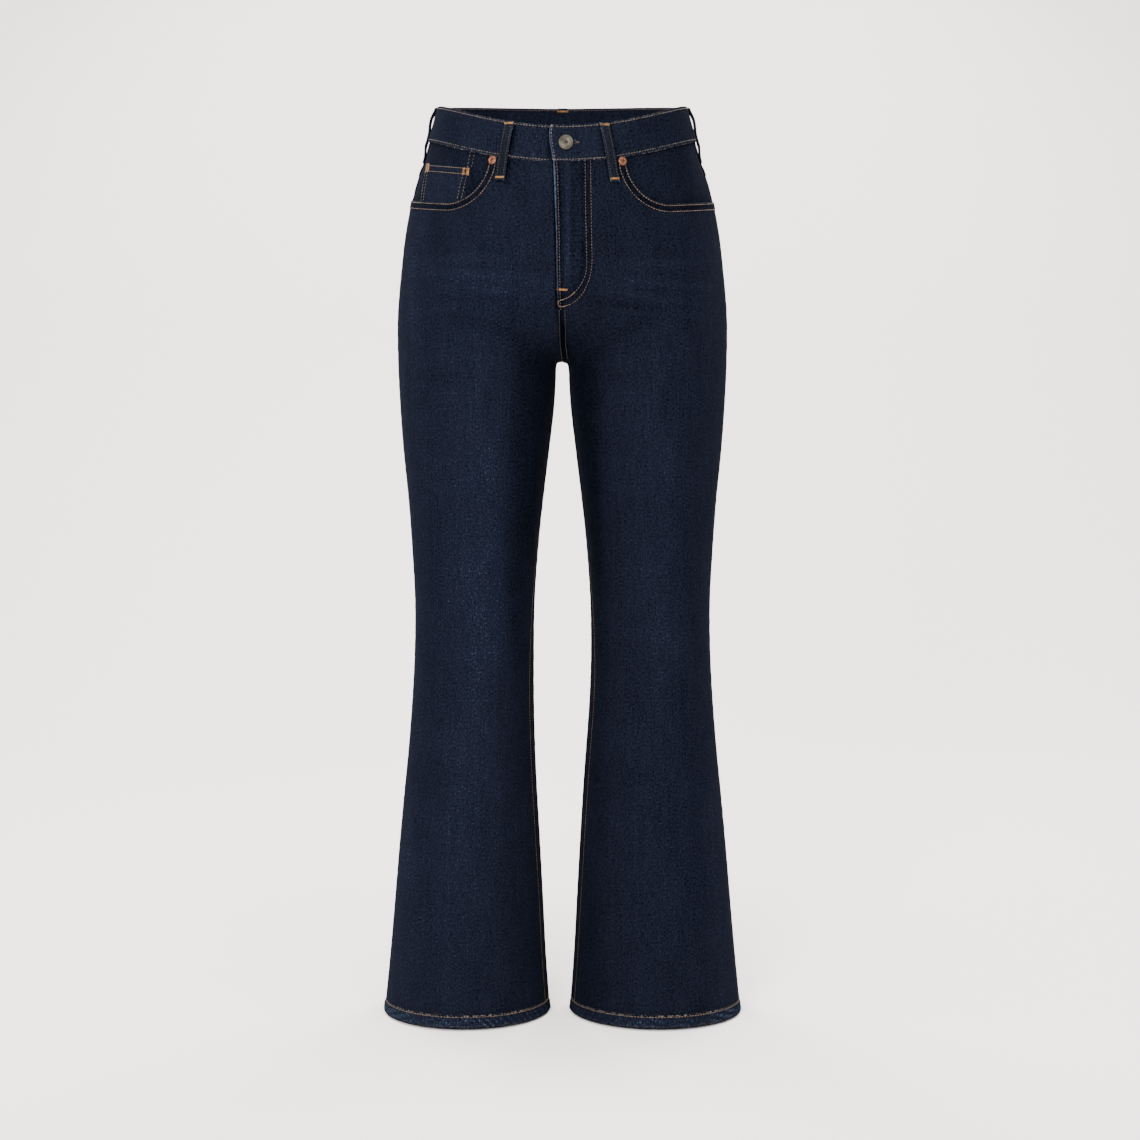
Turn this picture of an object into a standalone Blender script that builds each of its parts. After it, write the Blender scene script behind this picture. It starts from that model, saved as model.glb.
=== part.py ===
"""Flared five-pocket jeans, filled out as worn, with the fly closed and the button fastened.

Every piece of cloth follows one surface, the outer face of the worn denim. A place on it is given by how
far it lies across from a centre seam (mm, along the cloth) and by its drop (mm, straight down from the
waistband's top edge at the side seams), and a piece lies so far in or out from there. The wearer's left
leg is at +X and the front faces -Y. The origin is the middle of the waist, half-way down the waistband at
the side seams, where the wearer holds the jeans up.
"""

import math

import bmesh
import bpy
import numpy as np
from mathutils import Vector

MM = 0.001
WEARERS_LEFT = 1
WEARERS_RIGHT = -1
SIDES = ((WEARERS_LEFT, "left"), (WEARERS_RIGHT, "right"))
FRONT = "front"
BACK = "back"
SIDE_SEAM = "side seam"

# Heights in mm, as drops from the waistband's top edge at the side seams
ORIGIN_DROP = 19.0
CROTCH_DROP = 292.5
HEM_DROP = 1061.0

# Thicknesses and clearances in mm
CLOTH = 1.4
GAP = 0.3
CORNER_INSET = 0.5
SEAM_SLACK = 0.1
BAND_OUT = 1.2
BAND_IN = 2.0

# The worn body of the jeans, a row for each height, in mm
STATION_COLUMNS = ("drop", "half width", "half gap", "front depth", "back depth", "middle")
STATIONS = np.array((
    (-12.0, 139.5, 8.0, 96.8, 90.5, 0.0),
    (0.0, 142.4, 8.0, 98.0, 92.0, 0.0),
    (38.0, 152.9, 8.0, 101.0, 97.0, 0.0),
    (60.0, 159.2, 8.0, 103.6, 102.0, 0.0),
    (78.0, 165.6, 8.0, 106.0, 107.0, 0.0),
    (140.0, 180.3, 8.0, 108.0, 124.0, 0.0),
    (190.0, 186.6, 8.0, 106.0, 133.0, 0.0),
    (240.0, 191.0, 8.0, 102.0, 128.0, 0.0),
    (292.5, 191.3, 8.2, 100.0, 114.0, 2.0),
    (337.0, 189.6, 10.0, 97.0, 102.0, 3.0),
    (395.0, 185.8, 16.4, 90.0, 91.0, 4.0),
    (453.0, 180.3, 23.4, 83.0, 83.0, 4.0),
    (512.0, 176.3, 29.3, 77.5, 76.0, 4.0),
    (571.0, 173.5, 33.3, 73.5, 71.0, 4.0),
    (630.0, 174.2, 34.3, 71.0, 68.5, 5.0),
    (689.0, 177.5, 33.4, 70.5, 70.0, 6.0),
    (749.0, 182.5, 30.6, 72.0, 73.5, 7.0),
    (809.0, 188.7, 27.2, 75.0, 77.0, 8.0),
    (869.0, 194.4, 23.8, 78.5, 80.5, 8.0),
    (929.0, 199.6, 20.7, 83.5, 83.5, 8.0),
    (989.0, 205.0, 17.7, 88.5, 86.0, 8.0),
    (1061.0, 212.4, 12.8, 94.5, 88.5, 8.0),
    (1080.0, 214.4, 11.5, 96.0, 89.0, 8.0),
))
STATION_SLOPES = np.gradient(STATIONS, STATIONS[:, 0], axis=0)

# Above the crotch the legs' two ellipses slide together, and a bridge of cloth spans from one to the other
MERGED_DROP = 20.0
SADDLE = 6.0
RISE = 85.0
BRIDGE_FALL = 1.4
CLEFT = 0.1
BLEND = 0.1
SECTION_STEPS = 64
SETTLE_STEPS = 5

# Low down the inner edges of both legs stand over to the wearer's right
SWAY = -3.5
SWAY_START = 620.0
SWAY_FULL = 800.0

# The waistband dips to the centre front and climbs to the centre back
BAND_HEIGHT = 38.5
FRONT_DIP = 34.0
SEAM_DIP = 32.5
DIP_POWER = 1.7
BACK_CLIMB = 10.0
BACK_POWER = 3.0

# Soft folds, a row for each: where its middle lies, its turn in degrees, half length, half width, height
FOLD_COLUMNS = ("half", "side", "across", "drop", "turn", "length", "width", "height")
FOLDS = (
    (FRONT, WEARERS_LEFT, 118.0, 214.0, -14.0, 46.0, 11.0, -1.3),
    (FRONT, WEARERS_LEFT, 104.0, 246.0, -20.0, 40.0, 10.0, -1.5),
    (FRONT, WEARERS_LEFT, 92.0, 282.0, -27.0, 36.0, 11.0, -1.2),
    (FRONT, WEARERS_RIGHT, 112.0, 222.0, -12.0, 44.0, 11.0, -1.4),
    (FRONT, WEARERS_RIGHT, 98.0, 256.0, -18.0, 42.0, 10.0, -1.3),
    (FRONT, WEARERS_RIGHT, 88.0, 290.0, -25.0, 34.0, 12.0, -1.1),
    (FRONT, WEARERS_LEFT, 120.0, 612.0, 6.0, 44.0, 13.0, 1.3),
    (FRONT, WEARERS_RIGHT, 116.0, 626.0, -4.0, 42.0, 13.0, 1.2),
    (BACK, WEARERS_LEFT, 112.0, 318.0, 24.0, 52.0, 12.0, -1.8),
    (BACK, WEARERS_RIGHT, 108.0, 324.0, 22.0, 50.0, 12.0, -1.7),
    (BACK, WEARERS_LEFT, 96.0, 360.0, 16.0, 44.0, 13.0, -1.4),
    (BACK, WEARERS_RIGHT, 98.0, 352.0, 18.0, 46.0, 12.0, -1.5),
    (BACK, WEARERS_LEFT, 112.0, 566.0, 10.0, 50.0, 12.0, -2.2),
    (BACK, WEARERS_LEFT, 104.0, 604.0, -6.0, 54.0, 12.0, -2.4),
    (BACK, WEARERS_LEFT, 114.0, 644.0, 8.0, 44.0, 12.0, -1.8),
    (BACK, WEARERS_RIGHT, 106.0, 572.0, -8.0, 52.0, 12.0, -2.3),
    (BACK, WEARERS_RIGHT, 112.0, 610.0, 5.0, 50.0, 12.0, -2.1),
    (BACK, WEARERS_RIGHT, 104.0, 650.0, -10.0, 46.0, 12.0, -1.9),
)

# The closed fly: drops, and where the left front's edge lies at each, in mm across from the middle
FLY_EDGE = np.array((
    (30.0, -12.4),
    (72.0, -8.8),
    (140.0, -6.8),
    (225.0, -5.4),
    (250.0, -4.4),
    (274.0, -2.6),
    (CROTCH_DROP, GAP / 2),
    (1100.0, GAP / 2),
))
CENTRE_SHIFT = -5.5
LAP_END = 232.0
BUTT_START = 240.0
FLAP_END = 250.0
FLAP_LIFT = CLOTH + GAP
FLAP_FLAT = 0.5
FLAP_SLOPE = 13.0
UNDERLAP_EDGE = 1.0

# The scoop of the front pockets, in mm
SCOOP_START = 78.0
SCOOP_REACH = 50.0
SCOOP_FALL = 51.5
SCOOP_CLIMB = 10.5
SCOOP_POWER = 1.15
FACING_OUT = -CLOTH - 2.2 * GAP
FACING_THICK = 1.2
FACING_TUCK = 13.0
FACING_START = 25.0
FACING_ROWS = 7
LEAST_REACH = 0.02

# Rows of points down the cloth: the drops at the centre seam or inseam, and at the side seam, in mm
TOP_ROWS = 4
FRONT_ROWS = ((150.0, 158.0), (180.0, 184.0), (208.0, 206.0), (LAP_END, 224.0), (BUTT_START, 238.0),
              (FLAP_END, 250.0), (264.0, 262.0), (277.0, 274.0), (286.5, 286.0), (291.0, 298.0),
              (CROTCH_DROP, 308.0), (295.0, 318.0), (301.0, 328.0), (311.0, 340.0), (328.0, 354.0))
BACK_ROWS = ((150.0, 150.0), (176.0, 172.0), (202.0, 193.0), (226.0, 213.0), (248.0, 232.0),
             (266.0, 250.0), (279.0, 268.0), (287.5, 284.0), (291.3, 297.0),
             (CROTCH_DROP, 308.0), (295.0, 318.0), (301.0, 328.0), (311.0, 340.0), (328.0, 354.0))
LEG_TOP = 368.0
LEG_ROWS = 17
HEM_HEIGHT = 14.0
HEM_BULGE = 0.6
HEM_THICK = 1.9

# Columns of points across the cloth: the first few keep their distance from the inner edge, in mm
FIXED_COLUMNS = {FRONT: 3, BACK: 2}
SECOND_COLUMN = 9.0
THIRD_COLUMN = 20.0
BACK_SECOND_COLUMN = 12.0
LEAST_COLUMN = 0.8
CORNER_REACH = 2.0
PANEL_COLUMNS = 12
SIDE_CROWDING = 0.05

YOKE_SIDE_DROP = 78.0
YOKE_CENTRE_DROP = 99.0
YOKE_ROWS = 4

BACK_POCKET = {"middle": 98.0, "top": 121.0, "tilt": 5.0, "half width": 69.0, "taper": 8.0, "drift": 3.1,
               "side": 118.0, "point": 24.0, "thick": 1.3, "gap": 0.95}
BACK_POCKET_COLUMNS = 10
BACK_POCKET_ROWS = 9

COIN_POCKET = {"inner": 115.0, "outer": 181.0, "inner top": 76.5, "outer top": 67.5, "lean": 7.0,
               "thick": 1.1, "face": -0.2}
COIN_POCKET_COLUMNS = 5
COIN_POCKET_ROWS = 4

# Belt loops: side, seam or half, and where the top and the bottom end lie across
LOOPS = {
    "belt_loop_front_left": (WEARERS_LEFT, FRONT, 47.5, 59.0),
    "belt_loop_front_right": (WEARERS_RIGHT, FRONT, 58.5, 70.0),
    "belt_loop_side_left": (WEARERS_LEFT, SIDE_SEAM, 0.0, 0.0),
    "belt_loop_side_right": (WEARERS_RIGHT, SIDE_SEAM, 0.0, 0.0),
    "belt_loop_back": (WEARERS_LEFT, BACK, 0.0, 0.0),
}
LOOP_HALF_WIDTH = 5.5
# A loop's profile, a row down from the band's top or bottom edge: drop from it, inner face and thickness
LOOP_PROFILE = (
    ("top", -0.5, 1.65, 2.0),
    ("top", 4.0, 1.65, 2.8),
    ("top", 9.0, 3.5, 1.4),
    ("top", 17.0, 4.6, 1.4),
    ("bottom", -9.0, 4.3, 1.4),
    ("bottom", 6.0, 3.1, 1.4),
    ("bottom", 17.0, 0.45, 2.6),
    ("bottom", 25.0, 0.45, 2.2),
)

# The zip's tape lies behind the fly, its chain raised between the middle places across
ZIP_ACROSS = np.array((-13.0, -1.0, -0.6, 3.0, 3.4, 13.0))
ZIP_LIFT = np.array((0.0, 0.0, 0.9, 0.9, 0.0, 0.0)) - CLOTH - 2 * GAP
ZIP_THICK = 1.0
ZIP_TOP = 79.0
ZIP_TOP_ROWS = 3

# The waistband: rows from its top edge to its bottom edge, and columns in mm or in shares of a half
BAND_ROWS = np.array((0.0, 0.2, 0.41, 0.55, 1.0))
BAND_SHARES = (0.2, 0.28, 0.36, 0.44, 0.52, 0.6, 0.67, 0.74, 0.8, 0.86, 0.92, 0.97)
BAND_LIFT = 1.6
BAND_SINK = BAND_LIFT - BAND_OUT - BAND_IN - GAP
BAND_STRETCHES = (
    (WEARERS_LEFT, FRONT, "mm", (30.0, 20.0, 8.6, 2.4, -5.0, -9.0), BAND_SINK),
    (WEARERS_RIGHT, FRONT, "mm", (13.4, 16.0, 26.0), (BAND_SINK, BAND_SINK, 0.0)),
    (WEARERS_RIGHT, FRONT, "share", BAND_SHARES, 0.0),
    (WEARERS_RIGHT, BACK, "share", BAND_SHARES[::-1], 0.0),
    (WEARERS_LEFT, BACK, "mm", (-30.0, -15.0, 0.0, 15.0, 30.0), 0.0),
    (WEARERS_LEFT, BACK, "share", BAND_SHARES, 0.0),
    (WEARERS_LEFT, FRONT, "share", BAND_SHARES[::-1], 0.0),
    (WEARERS_LEFT, FRONT, "mm", (38.0,), 0.0),
    (WEARERS_LEFT, FRONT, "mm", (30.0, 20.0, 8.6, 2.4, -5.0), BAND_LIFT),
)
BUTTONHOLE = (2, -4)

# Profiles of the turned pieces, as radius and height over the cloth in mm
BUTTON = {"across": 5.5, "drop": 51.5, "steps": 28}
SHANK_END = GAP - 0.1 - BAND_OUT - BAND_IN - GAP
BUTTON_PROFILE = ((0.0, 2.9), (1.2, 2.9), (1.6, 2.6), (5.6, 2.7), (7.7, 2.5), (8.6, 1.6), (8.3, 0.5),
                  (6.8, 0.25), (2.0, 0.25), (2.0, SHANK_END), (0.0, SHANK_END))
RIVETS = {"rivet_left": (WEARERS_LEFT, 68.0, 71.5), "rivet_right": (WEARERS_RIGHT, 79.0, 70.0)}
RIVET_STEPS = 18
RIVET_PROFILE = ((0.0, 1.5), (1.5, 1.5), (2.1, 1.1), (2.9, 1.35), (4.1, 1.1), (4.8, 0.35), (4.8, 0.0),
                 (0.0, 0.0))

DENIM = (0.0091, 0.0159, 0.0423)
DENIM_WORN = (0.014, 0.023, 0.055)
SILVER = (0.52, 0.50, 0.46)
COPPER = (0.60, 0.30, 0.17)
ZIP_TAPE = (0.012, 0.016, 0.03)


def clear_scene():
    """Remove whatever the file holds."""
    for thing in list(bpy.data.objects):
        bpy.data.objects.remove(thing, do_unlink=True)
    for group in list(bpy.data.collections):
        bpy.data.collections.remove(group)


def station(name, drop):
    """A column of the stations at any drop, on a smooth curve through its rows."""
    heights = STATIONS[:, 0]
    column = STATION_COLUMNS.index(name)
    values = STATIONS[:, column]
    slopes = STATION_SLOPES[:, column]
    row = np.clip(np.searchsorted(heights, drop, side="right") - 1, 0, len(heights) - 2)
    step = heights[row + 1] - heights[row]
    u = (drop - heights[row]) / step
    start = (1 + 2 * u) * (1 - u) ** 2 * values[row] + u * (1 - u) ** 2 * step * slopes[row]
    end = u * u * (3 - 2 * u) * values[row + 1] + u * u * (u - 1) * step * slopes[row + 1]
    return start + end


def ease(value, start, end):
    """A smooth step, from 0 at the start to 1 at the end."""
    share = np.clip((value - start) / (end - start), 0, 1)
    return share * share * (3 - 2 * share)


def depth_of(half, drop):
    """Depth of a half from the body's middle."""
    return station("front depth" if half == FRONT else "back depth", drop)


def leg_ellipse(drop):
    """Middle and half width of a leg's ellipse in the rounded coordinate, root(x * x + SADDLE * SADDLE).

    Above the crotch the ellipse slides inwards, until at the waist it is centred on the body.
    """
    outer = np.sqrt(station("half width", drop) ** 2 + SADDLE ** 2)
    inner = np.sqrt(station("half gap", drop) ** 2 + SADDLE ** 2)
    inner = inner - (outer + inner) * ease(drop, CROTCH_DROP, MERGED_DROP)
    return (outer + inner) / 2, (outer - inner) / 2


def leg_fullness(rounded, drop):
    """Squared share of its depth that a leg's ellipse stands out, below nought outside it."""
    middle, width = leg_ellipse(drop)
    return 1 - ((rounded - middle) / width) ** 2


# The bridge's fullness where it ends, so that the blended section closes just at the crotch
BRIDGE_END = BLEND ** 2 / (4 * leg_fullness(SADDLE, CROTCH_DROP))


def bridge_fullness(half, rounded, drop):
    """The same for the cloth that spans between the two legs above the crotch."""
    climb = np.minimum((CROTCH_DROP - drop) / RISE, 1)
    bridge = BRIDGE_END + (1 - BRIDGE_END) * climb * (2 - climb)
    if half == BACK:
        bridge = bridge - CLEFT * np.clip(climb, 0, 1) ** 2
    return bridge - BRIDGE_FALL * (rounded ** 2 - SADDLE ** 2) / station("half width", drop) ** 2


def fullness(half, rounded, drop):
    """The greater of the two, blended where they are close."""
    leg = leg_fullness(rounded, drop)
    bridge = bridge_fullness(half, rounded, drop)
    return (leg + bridge + np.sqrt((leg - bridge) ** 2 + BLEND ** 2)) / 2


def closed_edges(drop):
    """Where each section closes, at the inseam or the middle of the body and at the side seam."""
    middle, width = leg_ellipse(drop)
    low = middle - width
    high = middle + width
    for _ in range(6):
        inside = np.minimum(bridge_fullness(FRONT, low, drop), -1e-6)
        low = np.maximum(middle - width * np.sqrt(1 - BLEND ** 2 / (4 * inside)), SADDLE)
        outside = np.minimum(bridge_fullness(FRONT, high, drop), -1e-6)
        high = middle + width * np.sqrt(1 - BLEND ** 2 / (4 * outside))
    return np.where(drop > CROTCH_DROP, low, SADDLE), high


def section(half, drop):
    """Points of each drop's section from the centre seam, or the inseam, out to the side seam."""
    low, high = closed_edges(drop)
    swing = np.cos(np.linspace(0, math.pi, SECTION_STEPS))
    rounded = ((low + high)[:, None] - (high - low)[:, None] * swing) / 2
    x = np.sqrt(np.clip(rounded ** 2 - SADDLE ** 2, 0, None))
    share = np.sqrt(np.clip(fullness(half, rounded, drop[:, None]), 0, None))
    share[:, -1] = 0
    share[:, 0] = np.where(drop >= CROTCH_DROP, 0, share[:, 0])
    forward = -1 if half == FRONT else 1
    y = station("middle", drop)[:, None] + forward * depth_of(half, drop)[:, None] * share
    lengths = np.hypot(np.diff(x, axis=1), np.diff(y, axis=1))
    along = np.concatenate((np.zeros((len(drop), 1)), np.cumsum(lengths, axis=1)), axis=1)
    return x, y, along


def half_length(half, drop):
    """How far the side seam lies from the centre seam or the inseam, along the cloth."""
    drop = np.asarray(drop, dtype=float)
    return section(half, drop.ravel())[2][:, -1].reshape(drop.shape)


def outward(half, x, y, drop):
    """Unit normals of the surface, out of the body."""
    def level(over, height):
        rounded = np.sqrt(over ** 2 + SADDLE ** 2)
        reach = depth_of(half, height) ** 2 * fullness(half, rounded, height)
        return (y - station("middle", height)) ** 2 - reach
    step = 0.25
    slope = np.stack((level(x + step, drop) - level(x - step, drop),
                      4 * step * (y - station("middle", drop)),
                      level(x, drop - step) - level(x, drop + step)), axis=-1)
    return slope / np.linalg.norm(slope, axis=-1, keepdims=True)


def folds(half, side, across, drop):
    """Height of the soft folds at each place."""
    height = np.zeros_like(across)
    for fold in FOLDS:
        row = dict(zip(FOLD_COLUMNS, fold))
        if row["half"] != half or row["side"] != side:
            continue
        turn = math.radians(row["turn"])
        over = across - row["across"]
        down = drop - row["drop"]
        along = (over * math.cos(turn) + down * math.sin(turn)) / row["length"]
        beside = (down * math.cos(turn) - over * math.sin(turn)) / row["width"]
        height += row["height"] * np.exp(-along ** 2 - beside ** 2)
    return height


def cloth(side, seam, across, drop, lift):
    """World points of places on the cloth, lifted out from it, all in mm until the last line.

    Across is measured from the centre front, the centre back or, positive towards the back, from the side
    seam. A negative distance from a centre seam lies on the other leg's side of it.
    """
    across, drop, lift = np.broadcast_arrays(*(np.asarray(value, dtype=float)
                                               for value in (across, drop, lift)))
    if seam == SIDE_SEAM:
        ahead = cloth(side, FRONT, half_length(FRONT, drop) + across, drop, lift)
        behind = cloth(side, BACK, half_length(BACK, drop) - across, drop, lift)
        return np.where((across < 0)[..., None], ahead, behind)
    shape = across.shape
    across, drop, lift = across.ravel(), drop.ravel(), lift.ravel()
    xs, ys, along = section(seam, drop)
    x = np.array([np.interp(abs(a), table, row) for a, table, row in zip(across, along, xs)])
    y = np.array([np.interp(abs(a), table, row) for a, table, row in zip(across, along, ys)])
    normal = outward(seam, x, y, drop)
    lift = lift + folds(seam, side, across, drop)
    points = np.stack((x, y, ORIGIN_DROP - drop), axis=-1) + normal * lift[:, None]
    sway = SWAY * ease(drop, SWAY_START, SWAY_FULL) * (1 - x / station("half width", drop))
    points[:, 0] = points[:, 0] * np.where(across < 0, -side, side) + sway
    return points.reshape(shape + (3,)) * MM


def waist_line(half, base, across, drop):
    """Drop of a line that follows the waistband, at places across a half."""
    share = np.clip(np.abs(across) / half_length(half, drop), 0, 1)
    if half == BACK:
        return base - BACK_CLIMB * (1 - share ** BACK_POWER)
    dip = FRONT_DIP + (SEAM_DIP - FRONT_DIP) * base / BAND_HEIGHT
    return base + dip * np.cos(share * math.pi / 2) ** DIP_POWER


def make_material(name, colour, roughness, metallic):
    """A plain Principled material."""
    material = bpy.data.materials.new(name)
    material.use_nodes = True
    shader = material.node_tree.nodes["Principled BSDF"]
    shader.inputs["Base Color"].default_value = (*colour, 1.0)
    shader.inputs["Roughness"].default_value = roughness
    shader.inputs["Metallic"].default_value = metallic
    material.diffuse_color = (*colour, 1.0)
    return material


def add_object(name, mesh, colour, roughness=0.9, metallic=0.0):
    """Put a mesh in the jeans' collection, smooth, with its own material."""
    part = bpy.data.objects.new(name, mesh)
    mesh.materials.append(make_material(name, colour, roughness, metallic))
    mesh.shade_smooth()
    mesh.set_sharp_from_angle(angle=math.radians(40))
    bpy.data.collections["flared_jeans"].objects.link(part)
    return part


def closed_mesh(name, points, faces):
    """A mesh whose faces all point out of the solid."""
    shape = bmesh.new()
    corners = [shape.verts.new(point) for point in points]
    for face in faces:
        shape.faces.new([corners[index] for index in face])
    if shape.calc_volume(signed=True) < 0:
        bmesh.ops.reverse_faces(shape, faces=shape.faces)
    mesh = bpy.data.meshes.new(name)
    shape.to_mesh(mesh)
    shape.free()
    return mesh


def add_wall(name, outer, inner, colour, missing=()):
    """A closed wall between two grids of points, with whole cells left out where it has holes."""
    rows, columns = outer.shape[:2]
    present = np.ones((rows - 1, columns - 1), dtype=bool)
    for cell in missing:
        present[cell] = False
    points = np.concatenate((outer.reshape(-1, 3), inner.reshape(-1, 3)))
    behind = rows * columns
    faces = []
    for row in range(rows - 1):
        for column in range(columns - 1):
            if not present[row, column]:
                continue
            a = row * columns + column
            b, c, d = a + 1, a + columns + 1, a + columns
            faces.append((a, d, c, b))
            faces.append((a + behind, b + behind, c + behind, d + behind))
            if row == 0 or not present[row - 1, column]:
                faces.append((a, b, b + behind, a + behind))
            if row == rows - 2 or not present[row + 1, column]:
                faces.append((c, d, d + behind, c + behind))
            if column == 0 or not present[row, column - 1]:
                faces.append((d, a, a + behind, d + behind))
            if column == columns - 2 or not present[row, column + 1]:
                faces.append((b, c, c + behind, b + behind))
    return add_object(name, closed_mesh(name, points, faces), colour)


def spread(first, last, count):
    """Places from first to last, a little closer together towards the side seam."""
    u = np.linspace(0, 1, count)
    share = u + SIDE_CROWDING * np.sin(math.pi * u)
    return first[..., None] + (last - first)[..., None] * share


def corner_inset(drop):
    """How much further in a panel's inner edge lies, where it turns the corner at the crotch."""
    return (CORNER_INSET - GAP / 2) * np.exp(-((drop - CROTCH_DROP) / CORNER_REACH) ** 2)


def front_columns(side, drop):
    """Where the columns of points of a front lie across it, at each drop of its inner edge."""
    fly = np.interp(drop, *FLY_EDGE.T)
    if side == WEARERS_LEFT:
        edge = fly
        second = np.interp(drop, (BUTT_START, LEG_TOP), (-FLAP_FLAT, SECOND_COLUMN))
        third = np.interp(drop, (BUTT_START, LEG_TOP), (FLAP_SLOPE, THIRD_COLUMN))
    else:
        butt = np.where(drop < CROTCH_DROP, GAP - fly, GAP / 2)
        edge = UNDERLAP_EDGE + (butt - UNDERLAP_EDGE) * np.interp(drop, (LAP_END, BUTT_START), (0, 1))
        second = np.full_like(drop, SECOND_COLUMN)
        third = np.full_like(drop, THIRD_COLUMN)
    edge = edge + corner_inset(drop)
    second = np.maximum(second, edge + LEAST_COLUMN)
    rest = spread(third, half_length(FRONT, drop) - GAP / 2, PANEL_COLUMNS)
    return np.concatenate((edge[..., None], second[..., None], rest), axis=-1)


def back_columns(drop):
    """Where the columns of points of a back lie across it, at each drop of its inner edge."""
    edge = GAP / 2 + corner_inset(drop)
    second = np.full_like(drop, BACK_SECOND_COLUMN)
    rest = spread(second, half_length(BACK, drop) - GAP / 2, PANEL_COLUMNS)
    return np.concatenate((edge[..., None], rest), axis=-1)


def panel_columns(half, side, drop):
    """Either of those."""
    return front_columns(side, drop) if half == FRONT else back_columns(drop)


def lower_rows(half, side, table):
    """Across and drop of a panel's points below its top rows, down to the hem's edge."""
    leg = tuple((drop, drop) for drop in np.linspace(LEG_TOP, HEM_DROP - HEM_HEIGHT, LEG_ROWS))
    inner, outer = np.array(table + leg + ((HEM_DROP, HEM_DROP),)).T
    across = panel_columns(half, side, inner)
    share = across / half_length(half, inner)[:, None]
    drop = inner[:, None] + (outer - inner)[:, None] * np.clip(share, 0, 1)
    length = half_length(half, drop)
    fixed = np.arange(across.shape[1]) < FIXED_COLUMNS[half]
    across = np.where(fixed, across, share * length)
    across[:, -1] = length[:, -1] - GAP / 2
    return across, drop


def upper_row(half, side, top_line, below, rise):
    """The same for one row between the top edge and the first lower row, so far up of the way to the edge."""
    share = below[0] / half_length(half, below[1])
    fixed = FIXED_COLUMNS[half]
    across, drop = below
    for _ in range(SETTLE_STEPS):
        edge = top_line(across, drop)
        drop = below[1] + (edge - below[1]) * rise
        across = share * half_length(half, drop)
        across[:fixed] = panel_columns(half, side, drop[:1])[0, :fixed]
        across[-1] = half_length(half, drop[-1:])[0] - GAP / 2
    return across, drop


def panel_grid(half, side, top_line, table):
    """Across and drop of every point of a panel, row by row from its top edge to the hem."""
    across, drop = lower_rows(half, side, table)
    upper = [upper_row(half, side, top_line, (across[0], drop[0]), 1 - row / TOP_ROWS)
             for row in range(TOP_ROWS)]
    across = np.concatenate(([row[0] for row in upper], across))
    drop = np.concatenate(([row[1] for row in upper], drop))
    return across, drop


def scoop_line(side, across, drop):
    """Drop of the pocket mouth's cut edge."""
    start = SCOOP_START + side * CENTRE_SHIFT
    seam = waist_line(FRONT, BAND_HEIGHT, across, drop)
    reach = np.clip((across - start) / SCOOP_REACH, 0, 1)
    fall = SCOOP_FALL * np.sqrt(1 - (1 - reach) ** 2)
    rest = half_length(FRONT, drop) - start - SCOOP_REACH
    climb = SCOOP_CLIMB * np.clip((across - start - SCOOP_REACH) / rest, 0, 1) ** SCOOP_POWER
    corner = waist_line(FRONT, BAND_HEIGHT, np.full_like(across, start), drop)
    return np.where(across > start, corner + fall - climb, seam)


def flap_lift(side, across, drop):
    """How far the fly's flap stands up over the underlap."""
    if side == WEARERS_RIGHT:
        return np.zeros_like(across)
    down = np.interp(drop, (BUTT_START, FLAP_END), (1, 0))
    over = np.interp(across, (-FLAP_FLAT, FLAP_SLOPE), (1, 0))
    return FLAP_LIFT * down * over


def hem_bulge(drop):
    """How far the outer face swells over the turned-up hem."""
    return HEM_BULGE * np.interp(drop, (HEM_DROP - HEM_HEIGHT - 1, HEM_DROP), (0, 1))


def front_grid(side):
    """Across and drop of every point of a front, from the waistband seam and the pocket mouth down."""
    def top(across, drop):
        return scoop_line(side, across, drop) + GAP + SEAM_SLACK
    return panel_grid(FRONT, side, top, FRONT_ROWS)


def make_front(side, name):
    """One front, from the waistband seam and the pocket mouth down to the hem."""
    across, drop = front_grid(side)
    lift = flap_lift(side, across, drop) + hem_bulge(drop)
    outer = cloth(side, FRONT, across, drop, lift)
    inner = cloth(side, FRONT, across, drop, flap_lift(side, across, drop) - CLOTH)
    add_wall(name, outer, inner, DENIM)


def yoke_line(across, drop):
    """Drop of the seam between the yoke and the back."""
    share = across / half_length(BACK, drop)
    return YOKE_CENTRE_DROP + (YOKE_SIDE_DROP - YOKE_CENTRE_DROP) * share


def make_back(side, name):
    """One back, from the yoke seam down to the hem."""
    def top(across, drop):
        return yoke_line(across, drop) + GAP
    across, drop = panel_grid(BACK, side, top, BACK_ROWS)
    outer = cloth(side, BACK, across, drop, hem_bulge(drop))
    inner = cloth(side, BACK, across, drop, -CLOTH)
    add_wall(name, outer, inner, DENIM)


def make_yoke(side, name):
    """One side of the yoke, between the waistband and the back."""
    middle = np.array([YOKE_CENTRE_DROP])
    share = back_columns(middle) / half_length(BACK, middle)
    drop = np.full((YOKE_ROWS, share.shape[1]), YOKE_CENTRE_DROP)
    for _ in range(SETTLE_STEPS):
        across = share * half_length(BACK, drop)
        across[:, 0] = GAP / 2
        across[:, -1] -= GAP / 2
        top = waist_line(BACK, BAND_HEIGHT, across, drop) + GAP + SEAM_SLACK
        bottom = yoke_line(across, drop)
        drop = top + (bottom - top) * np.linspace(0, 1, YOKE_ROWS)[:, None]
    outer = cloth(side, BACK, across, drop, 0.0)
    inner = cloth(side, BACK, across, drop, -CLOTH)
    add_wall(name, outer, inner, DENIM)


def hem_ring(side, drop, lift):
    """Points round a leg end, along its front and back along its back."""
    level = np.array([drop])
    ahead = np.append(0.0, front_columns(side, level)[0, 1:-1])
    behind = back_columns(level)[0, -2:0:-1]
    front = cloth(side, FRONT, ahead, drop, lift)
    seam = cloth(side, FRONT, half_length(FRONT, level), drop, lift)
    return np.concatenate((front, seam, cloth(side, BACK, behind, drop, lift)))


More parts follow.
